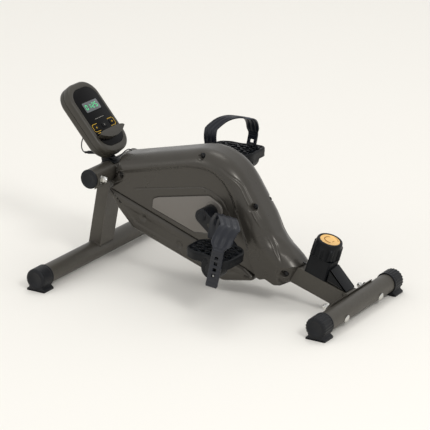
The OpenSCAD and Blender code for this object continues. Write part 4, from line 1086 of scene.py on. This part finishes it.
def makeBackParts(c):
    half = c["thick"] / 2
    door = slab("batteryDoor", rectangle(62, 44, 6, -22, 0, 120), -half - 0.2, -half + 1.3, "softBlack",
                consoleFrame, 0.4, 2, 0.6)
    parts = [door]
    for k in range(5):
        parts.append(slab("doorRib", rectangle(1.6, 16, 0.7, -46 + k * 3.2, 0, 24), -half - 0.9, -half + 0.1,
                          "softBlack", consoleFrame, 0.3, 1))
    finishPiece(join("batteryDoor", parts), "frame", "black_plastic", "battery_cover")
    place = sideOut(Matrix.Translation(bar), -1)

    def conPoint(u, z):
        p = consoleFrame @ Vector((u * mm, 0, z * mm)) - bar
        return p.x / mm, p.z / mm
    r = 24.5
    angles = np.radians(np.linspace(49, 187, 50))
    ring = np.vstack([np.column_stack([r * np.cos(angles), r * np.sin(angles)]),
                      np.column_stack([21.15 * np.cos(angles), 21.15 * np.sin(angles)])[::-1]])
    collar = slab("stalkCollar", ring, -14, 14, "softBlack", place, 0.6, 2)
    web = roundedPath([[13, 20.5, 1], [*conPoint(c["long"] / 2 - 10, -half + 0.5), 2],
                       [*conPoint(c["long"] / 2 - 50, -half + 0.5), 2], [-24, 30, 16], [-21, 13, 1],
                       [-14, 17.5, 1], [0, 22, 6]], True, 1.0)
    stem = slab("stalkWeb", web, -10.8, 10.8, "softBlack", place, 2.2, 4)
    parts = [collar, stem]
    # a thin dark line along each side of the stalk: painted shade in its seam
    for side in (-1, 1):
        rim = roundedPath([[8, 25, 2], [*conPoint(c["long"] / 2 - 16, -half - 3), 2],
                           [*conPoint(c["long"] / 2 - 44, -half - 3), 2], [-19, 32, 10]], True, 1.0)
        parts.append(strip("stalkLine", np.vstack([rim, rim[:1]]), 0.9, 10.5, 11.1, "paintedRecessShade",
                           sideOut(Matrix.Translation(bar), side)))
    finishPiece(join("stalk", parts), "frame", "black_plastic", "console_stalk")


makeBackParts(console)

lead = {
    "back": [(-49, -16.5, 82), (-60, -17, 72), (-67, -18, 58), (-69, -18, 44), (-67, -17, 35),
             (-62, -16.5, 31)],
    "front": [(-26, -16, 37), (-20, -15.5, 36), (-10, -15, 33), (2, -14, 30), (12, -9, 29), (18, 1, 31),
              (20, 12, 35), (22, 21, 39), (26, 28, 41), (31, 32, 37), (35, 31.5, 31)],
    "radius": 1.25, "plug": 3.7,
}


def makeLead(c):
    place = Matrix.Translation(bar)
    route = np.vstack([softPath(c["back"]), softPath([c["back"][-1], c["front"][0]])[1:-1],
                       softPath(c["front"])])
    cord = tube("consoleLead", route * mm, c["radius"] * mm, "cableBlack", 12, True, place)
    finishPiece(cord, "frame", "cable_black", "console_lead")
    start, end = Vector(c["back"][-1]) * mm, Vector(c["front"][0]) * mm
    long = (end - start).length / mm
    r = c["plug"]
    profile = [(1.4, 0), (1.9, 0.6)]
    for k in range(4):
        profile += [(2.5, 1.2 + k * 1.7), (2.5, 2.1 + k * 1.7), (1.9, 2.3 + k * 1.7), (1.9, 2.8 + k * 1.7)]
    profile += [(r - 0.4, 8.6), (r, 9.4), (r, long / 2 - 0.8), (r - 0.5, long / 2 - 0.5),
                (r - 0.5, long / 2 + 0.5), (r, long / 2 + 0.8), (r, long - 9.4), (r - 0.4, long - 8.6)]
    for k in range(4):
        profile += [(1.9, long - 8 + k * 1.7), (2.5, long - 7.6 + k * 1.7), (2.5, long - 6.8 + k * 1.7),
                    (1.9, long - 6.5 + k * 1.7)]
    profile += [(1.4, long)]
    plug = revolve("leadPlug", profile, "softBlack", lathe(bar + start, end - start), 40)
    finishPiece(plug, "frame", "black_plastic", "lead_plug", angle=30)


makeLead(lead)
print("console made")

cranks = {"from": 53.6, "out": 94.5, "thick": 16.0, "boss": 16.5, "tip": 14.0, "long": 90.0, "cap": 11.0}


def armFrame(side):
    word = "near" if side < 0 else "far"
    along = pedalAt[word] - crankAt
    along.y = 0
    along.normalize()
    out = Vector((0, side, 0))
    third = out.cross(along)
    return Matrix.Translation(crankAt) @ Matrix((along, third, out)).transposed().to_4x4()


def armOutline(a, b, long):
    lean = math.asin((a - b) / long)
    left = np.linspace(math.pi / 2 - lean, 3 * math.pi / 2 + lean, 40)
    right = np.linspace(-math.pi / 2 + lean, math.pi / 2 - lean, 30)
    return np.vstack([np.column_stack([long + b * np.cos(right), b * np.sin(right)]),
                      np.column_stack([a * np.cos(left), a * np.sin(left)])])


def makeCranks(c):
    capParts = []
    for side, word in sides:
        place = armFrame(side)
        outline = resample(armOutline(c["boss"], c["tip"], c["long"]), 220)
        arm = slab("crankArm", outline, c["out"] - c["thick"], c["out"], "crankBlack", place, 2.4, 5)
        neck = revolve("crankBoss",
                       [(9, c["from"]), (c["boss"] - 1.2, c["from"]), (c["boss"] - 0.4, c["from"] + 0.8),
                                     (c["boss"] - 0.4, c["from"] + 16),
                        (c["boss"] - 0.1, c["out"] - c["thick"] + 2.0)],
                       "crankBlack", place, 64)
        # the arm's hollow is a thin dark slab: painted shade in the recess
        groove = armOutline(4.2, 3.6, c["long"] - 44) + np.array((24.0, 0.0))
        hollow = slab("armHollow", resample(groove, 120), c["out"] - 0.3, c["out"] + 0.12, "paintedRecessShade", place,
                      0.1, 1)
        ring = revolve("armRing", [(7.4, c["out"] - 0.6), (7.4, c["out"] + 0.2), (8.6, c["out"] + 0.2),
                                   (8.9, c["out"] - 0.3)], "crankBlack",
                       place @ Matrix.Translation((c["long"] * mm, 0, 0)), 48)
        finishPiece(join("crankArm" + word.title(), [arm, neck, hollow, ring]), "crank", "crank_paint",
                    "crank_arm_" + word, angle=45)
        r = c["cap"]
        capParts.append(revolve("crankCap",
                                [(r, c["out"] - 0.6), (r, c["out"] + 0.6), (r - 0.6, c["out"] + 1.3),
                                             (r - 1.6, c["out"] + 1.5), (r - 2.1, c["out"] + 1.1),
                                 (r - 2.7, c["out"] + 1.5),
                                             (r - 4, c["out"] + 2.2), (r - 7, c["out"] + 2.7),
                                 (0, c["out"] + 2.9)],
                                "capBlack", place, 72))
    finishPiece(join("crankCaps", capParts), "crank", "black_plastic", "crank_caps", angle=35)


makeCranks(cranks)

pedals = {
    "long": 115.0, "wide": 90.0, "top": 17.0, "deep": 24.0, "rim": 6.0, "bellyX": 16.0, "bellyDrop": 10.0,
    "bellyRound": 25.0, "bellyLong": 30.0, "barPitch": 19.0, "barWide": 4.6,
    "stud": {"near": (28.2, -20.0), "far": (9.2, -20.0)}, "pitch": {"near": 4.0, "far": 0.0},
}


def pedalPlan(c, amount=0.0):
    x, y = c["long"] / 2, c["wide"] / 2
    path = roundedPath([[-x, -y * 0.7, 30], [-x * 0.55, -y * 0.96, 30], [-x * 0.05, -y * 0.93, 30],
                        [x * 0.4, -y * 1.14, 26],
                        [x, -y * 1.12, 38], [x, y, 40], [-x * 0.4, y, 34], [-x, y * 0.62, 28]])
    return inset(resample(path, 260), amount)


def clipLine(outline, point, direction):   # where a straight line enters and leaves the outline
    normal = np.array((-direction[1], direction[0]))
    side = (outline - point) @ normal
    hits = []
    for i in range(len(outline)):
        j = (i + 1) % len(outline)
        if side[i] * side[j] < 0:
            t = side[i] / (side[i] - side[j])
            hits.append(float(((outline[i] + t * (outline[j] - outline[i])) - point) @ direction))
    return (min(hits), max(hits)) if len(hits) > 1 else None


def pedalFrame(side):
    word = "near" if side < 0 else "far"
    pitch = Matrix.Rotation(math.radians(pedals["pitch"][word]), 4, "Y")
    return Matrix.Translation(pedalAt[word]) @ pitch @ Matrix.Diagonal((1, -side, 1, 1))


def makePedal(c, side, word):
    place = pedalFrame(side)
    outer = pedalPlan(c)
    low, top = c["top"] - c["deep"] + 4, c["top"]
    rings = [(inset(outer, c["rim"] - 1.5), low + 0.5), (inset(outer, 1.6), low),
             (inset(outer, 0.5), low + 0.6),
             (inset(outer, 0.8), low + 5), (inset(outer, 0.2), low + 9), (outer, low + 14), (outer, top - 3.2),
             (inset(outer, 0.5), top - 1.3), (inset(outer, 1.6), top - 0.3), (inset(outer, 2.8), top),
             (inset(outer, 4.4), top - 0.2), (inset(outer, 5.4), top - 1.0),
             (inset(outer, c["rim"]), top - 2.6),
             (inset(outer, c["rim"]), low + 1.0), (inset(outer, c["rim"] - 1.5), low + 0.5)]
    parts = [loft("pedalRim", layers(rings), "softBlack", False, False, True, place)]
    inner = inset(outer, c["rim"] - 1.0)
    height = (top - 8.0, top - 1.6)
    for turn in (38, -38):
        d = np.array((math.cos(math.radians(turn)), math.sin(math.radians(turn))))
        n = np.array((-d[1], d[0]))
        for k in range(-5, 6):
            span = clipLine(inner, n * k * c["barPitch"], d)
            if span and span[1] - span[0] > 12:
                a, b = n * k * c["barPitch"] + d * span[0], n * k * c["barPitch"] + d * span[1]
                parts.append(strip("tread", [a, (a + b) / 2, b], c["barWide"], height[0], height[1],
                                   "softBlack", place))
    for x in np.arange(-40, 48, 15.5):   # grips standing on the treads
        for y in np.arange(-36, 34, 12.2):
            if gap(np.array([(x, y)]), outer, True)[0] > 10:
                parts.append(slab("grip", rectangle(8.0, 5.0, 2.0, x, y, 28), height[1] - 1.0, top + 1.4,
                                  "softBlack", place, 1.3, 3))
    outward = place @ Matrix(((1, 0, 0, 0), (0, 0, -1, 0), (0, 1, 0, 0), (0, 0, 0, 1)))
    angles = np.radians(np.arange(0, 360, 4))
    belly = np.column_stack([c["bellyX"] + c["bellyRound"] * np.cos(angles),
                             np.minimum(-c["bellyDrop"] + c["bellyRound"] * np.sin(angles), 8.5)])
    start = c["wide"] / 2 - c["bellyLong"]
    parts.append(slab("barrel", resample(belly, 200), start, c["wide"] / 2 + 0.6, "softBlack", outward, 3.4, 6,
                      1.0))
    for k in range(3):
        ringAt = inset(resample(belly, 200), -0.25)
        parts.append(slab("barrelBand", ringAt, start + 6 + k * 7.5, start + 7.4 + k * 7.5, "softBlack",
                          outward, 0.3, 1))
    parts.append(slab("barrelCap", circle(c["bellyX"], -c["bellyDrop"] - 2, 13, 60), c["wide"] / 2,
                      c["wide"] / 2 + 1.5, "crankBlack", outward, 0.8, 3))
    parts.append(slab("spindleHousing", circle(0, 0, 12, 48), -c["wide"] / 2 + 1, c["wide"] / 2 - 4,
                      "softBlack", outward, 1.0, 2))
    x, z = c["stud"][word]
    stud = lathe(outward @ Vector((x * mm, z * mm, c["wide"] / 2 * mm)), outward.to_3x3() @ Vector((0, 0, 1)))
    parts.append(revolve("stud",
                         [(3.4, -1), (3.4, 4.6), (5.2, 5.4), (5.4, 6.6), (4.4, 7.8), (2.4, 8.4), (0, 8.5)],
                         "softBlack", stud, 32))
    parts.append(revolve("studTip", [(2.2, 8.2), (2.2, 8.7), (1.6, 9.1), (0, 9.2)], "steel", stud, 24))
    finishPiece(join("pedal" + word.title(), parts), "pedal_" + word, "black_plastic", "pedal_" + word,
                angle=45)


for side, word in sides:
    makePedal(pedals, side, word)
print("cranks and pedals made")

straps = {
    "x": {"near": 33.0, "far": 14.0}, "inner": {"near": -21.0, "far": -34.0}, "skew": 62.0, "lean": 0.15,
    "broad": {"near": 48.0, "far": 31.0},
    "tail": {"near": 28.0, "far": 24.0}, "thick": 3.0, "arch": 95.0, "split": 41.0, "end": -46.0,
    "holes": (-6.0, 8.0, 22.0), "studHole": -20.0, "hole": 9.0, "columns": 40,
}


def strapPath(c):
    w, top = pedals["wide"], c["arch"]
    points = [[w / 2 - 8, 17.5, 0], [w / 2 + 1, top * 0.62, 40], [w * 0.16, top, 32],
              [-w * 0.42, top * 0.84, 60],
              [-w / 2 - 11, top * 0.4, 24], [-w / 2 - 8, 9, 16], [-w / 2 - 8, c["end"], 0]]
    path = roundedPath(points, False, 1.5)
    run = np.concatenate([[0], np.cumsum(np.linalg.norm(np.diff(path, axis=0), axis=1))])
    return resample(path, int(run[-1] / 1.5), False)


def makeStrap(c, side, word):
    path = strapPath(c)
    step = np.gradient(path, axis=0)
    step /= np.linalg.norm(step, axis=1)[:, None]
    out = np.column_stack([step[:, 1], -step[:, 0]]) * -1   # away from the foot
    columns = c["columns"]
    across = np.linspace(-1, 1, columns + 1)
    w = pedals["wide"]
    outerTail = path[:, 0] < -w / 4
    tailShare = np.where(outerTail, 1 - smooth(path[:, 1], c["split"], c["split"] + 13), 0.0)
    width = c["broad"][word] + (c["tail"][word] - c["broad"][word]) * tailShare
    run = np.concatenate([[0], np.cumsum(np.linalg.norm(np.diff(path, axis=0), axis=1))])
    ends = smooth(run, 0, 5) * smooth(run[-1] - run, 0, 4)
    verts, faces = [], []
    holes = list(c["holes"]) + [c["studHole"]]
    for i in range(len(path)):
        centre = c["x"][word] - c["skew"] * max(0.0,
                                                path[i, 0] + w / 4) / (w * 0.75) + c["lean"] * (path[i, 1] - 12)
        centre = max(centre, c["inner"][word]) if path[i, 0] > 20 else centre
        half = width[i] / 2 * (0.9 + 0.1 * float(ends[i]))
        broad = 1 - tailShare[i]
        for a in across:
            wave = 0.5 - 0.5 * math.cos(2 * math.pi * (a + 1) * 1.5)
            ridge = 1.3 * broad * wave ** 0.6 if abs(a) < 0.9 else 0.0
            hem = 0.7 * float(smooth(abs(a), 0.86, 0.92))
            notch = 0.6 * tailShare[i] * (1 if int(run[i] / 4.7) % 2 else 0) * (abs(a) < 0.8)
            lift = (ridge * float(smooth(path[i, 1], 26, 44)) + hem + notch) * float(ends[i])
            verts.append(((centre + a * half) * mm, (path[i, 0] + out[i, 0] * lift) * mm,
                          (path[i, 1] + out[i, 1] * lift) * mm))
    row = columns + 1
    for i in range(len(path) - 1):
        middle = (path[i] + path[i + 1]) / 2
        for j in range(columns):
            a = (across[j] + across[j + 1]) / 2 * width[i] / 2
            punched = middle[0] < 0 and any(abs(middle[1] - z) < c["hole"] / 2 * 0.8
                                            and abs(a) < c["hole"] / 2 for z in holes)
            if not punched:
                faces.append((i * row + j, i * row + j + 1, (i + 1) * row + j + 1, (i + 1) * row + j))
    piece = makeObject("strap", verts, faces, "strapRubber", pedalFrame(side))
    solid(piece, c["thick"], 0.0)
    addModifier(piece, "BEVEL", width=0.45 * mm, segments=2, limit_method="ANGLE", angle_limit=math.radians(50))
    piece.name = "strap" + word.title()
    finishPiece(piece, "pedal_" + word, "strap_rubber", "strap_" + word, angle=45)


for side, word in sides:
    makeStrap(straps, side, word)
dress("cableBlack", "tension_cable")
print("straps made")
dress("framePaint", "front_stabilizer", "rear_stabilizer", "handle_bar", "front_post", "main_tube",
      "front_saddle", "rear_saddle", "bottom_bracket", "flywheel_bracket")
dress("steel", "crank_bearings", "flywheel_bearings", "crank_axle", "pedal_spindles", "flywheel_axle",
      "return_spring", "sensor_magnet", "magnet_bracket")
dress("brightZinc", "washers")
dress("castIron", "flywheel", "magnets")
dress("nylon", "drive_pulley", "flywheel_pulley")
dress("beltRubber", "drive_belt")
dress("softBlack", "speed_sensor")
dress("boardGreen", "circuit_board")


stage = {"floor": "#f6f3ec", "size": 9.0, "key": 84.0, "fill": 16.0, "top": 23.0, "world": 0.8}


def makeStage(c):
    bpy.ops.mesh.primitive_plane_add(size=c["size"], location=(0, 0, 0))
    floor = bpy.context.object
    floor.name = "floor"
    paper = bpy.data.materials.new("paper")
    paper.use_nodes = True
    tree = paper.node_tree
    shader = tree.nodes["Principled BSDF"]
    fine = useGroup(tree, grain, Scale=300.0, Coarse=2.0)
    tint = mixColours(tree, fine.outputs["Slow"], rgb(c["floor"], 0.995), rgb(c["floor"], 1.0))
    tree.links.new(tint, shader.inputs["Base Color"])
    shader.inputs["Roughness"].default_value = 0.9
    shader.inputs["Specular IOR Level"].default_value = 0.1
    floor.data.materials.append(paper)
    world = bpy.data.worlds.new("world")
    world.use_nodes = True
    world.node_tree.nodes["Background"].inputs["Color"].default_value = rgb("#ffffff")
    world.node_tree.nodes["Background"].inputs["Strength"].default_value = c["world"]
    bpy.context.scene.world = world


def areaLight(name, place, target, power, size, colour="#ffffff"):
    data = bpy.data.lights.new(name, "AREA")
    data.energy = power
    data.shape = "RECTANGLE"
    data.size, data.size_y = size
    data.color = rgb(colour)[:3]
    light = bpy.data.objects.new(name, data)
    bpy.context.scene.collection.objects.link(light)
    light.location = place
    light.rotation_euler = (Vector(place) - Vector(target)).to_track_quat("Z", "Y").to_euler()


makeStage(stage)
areaLight("key", (3.9, -2.2, 3.9), (0, 0, 0.15), stage["key"], (1.3, 1.3))
areaLight("fill", (-3.0, -4.2, 2.6), (0, 0, 0.15), stage["fill"], (1.6, 1.2))
areaLight("top", (-0.6, 1.4, 4.4), (0, 0, 0.1), stage["top"], (1.6, 1.6))
bpy.context.scene.view_settings.view_transform = "Standard"
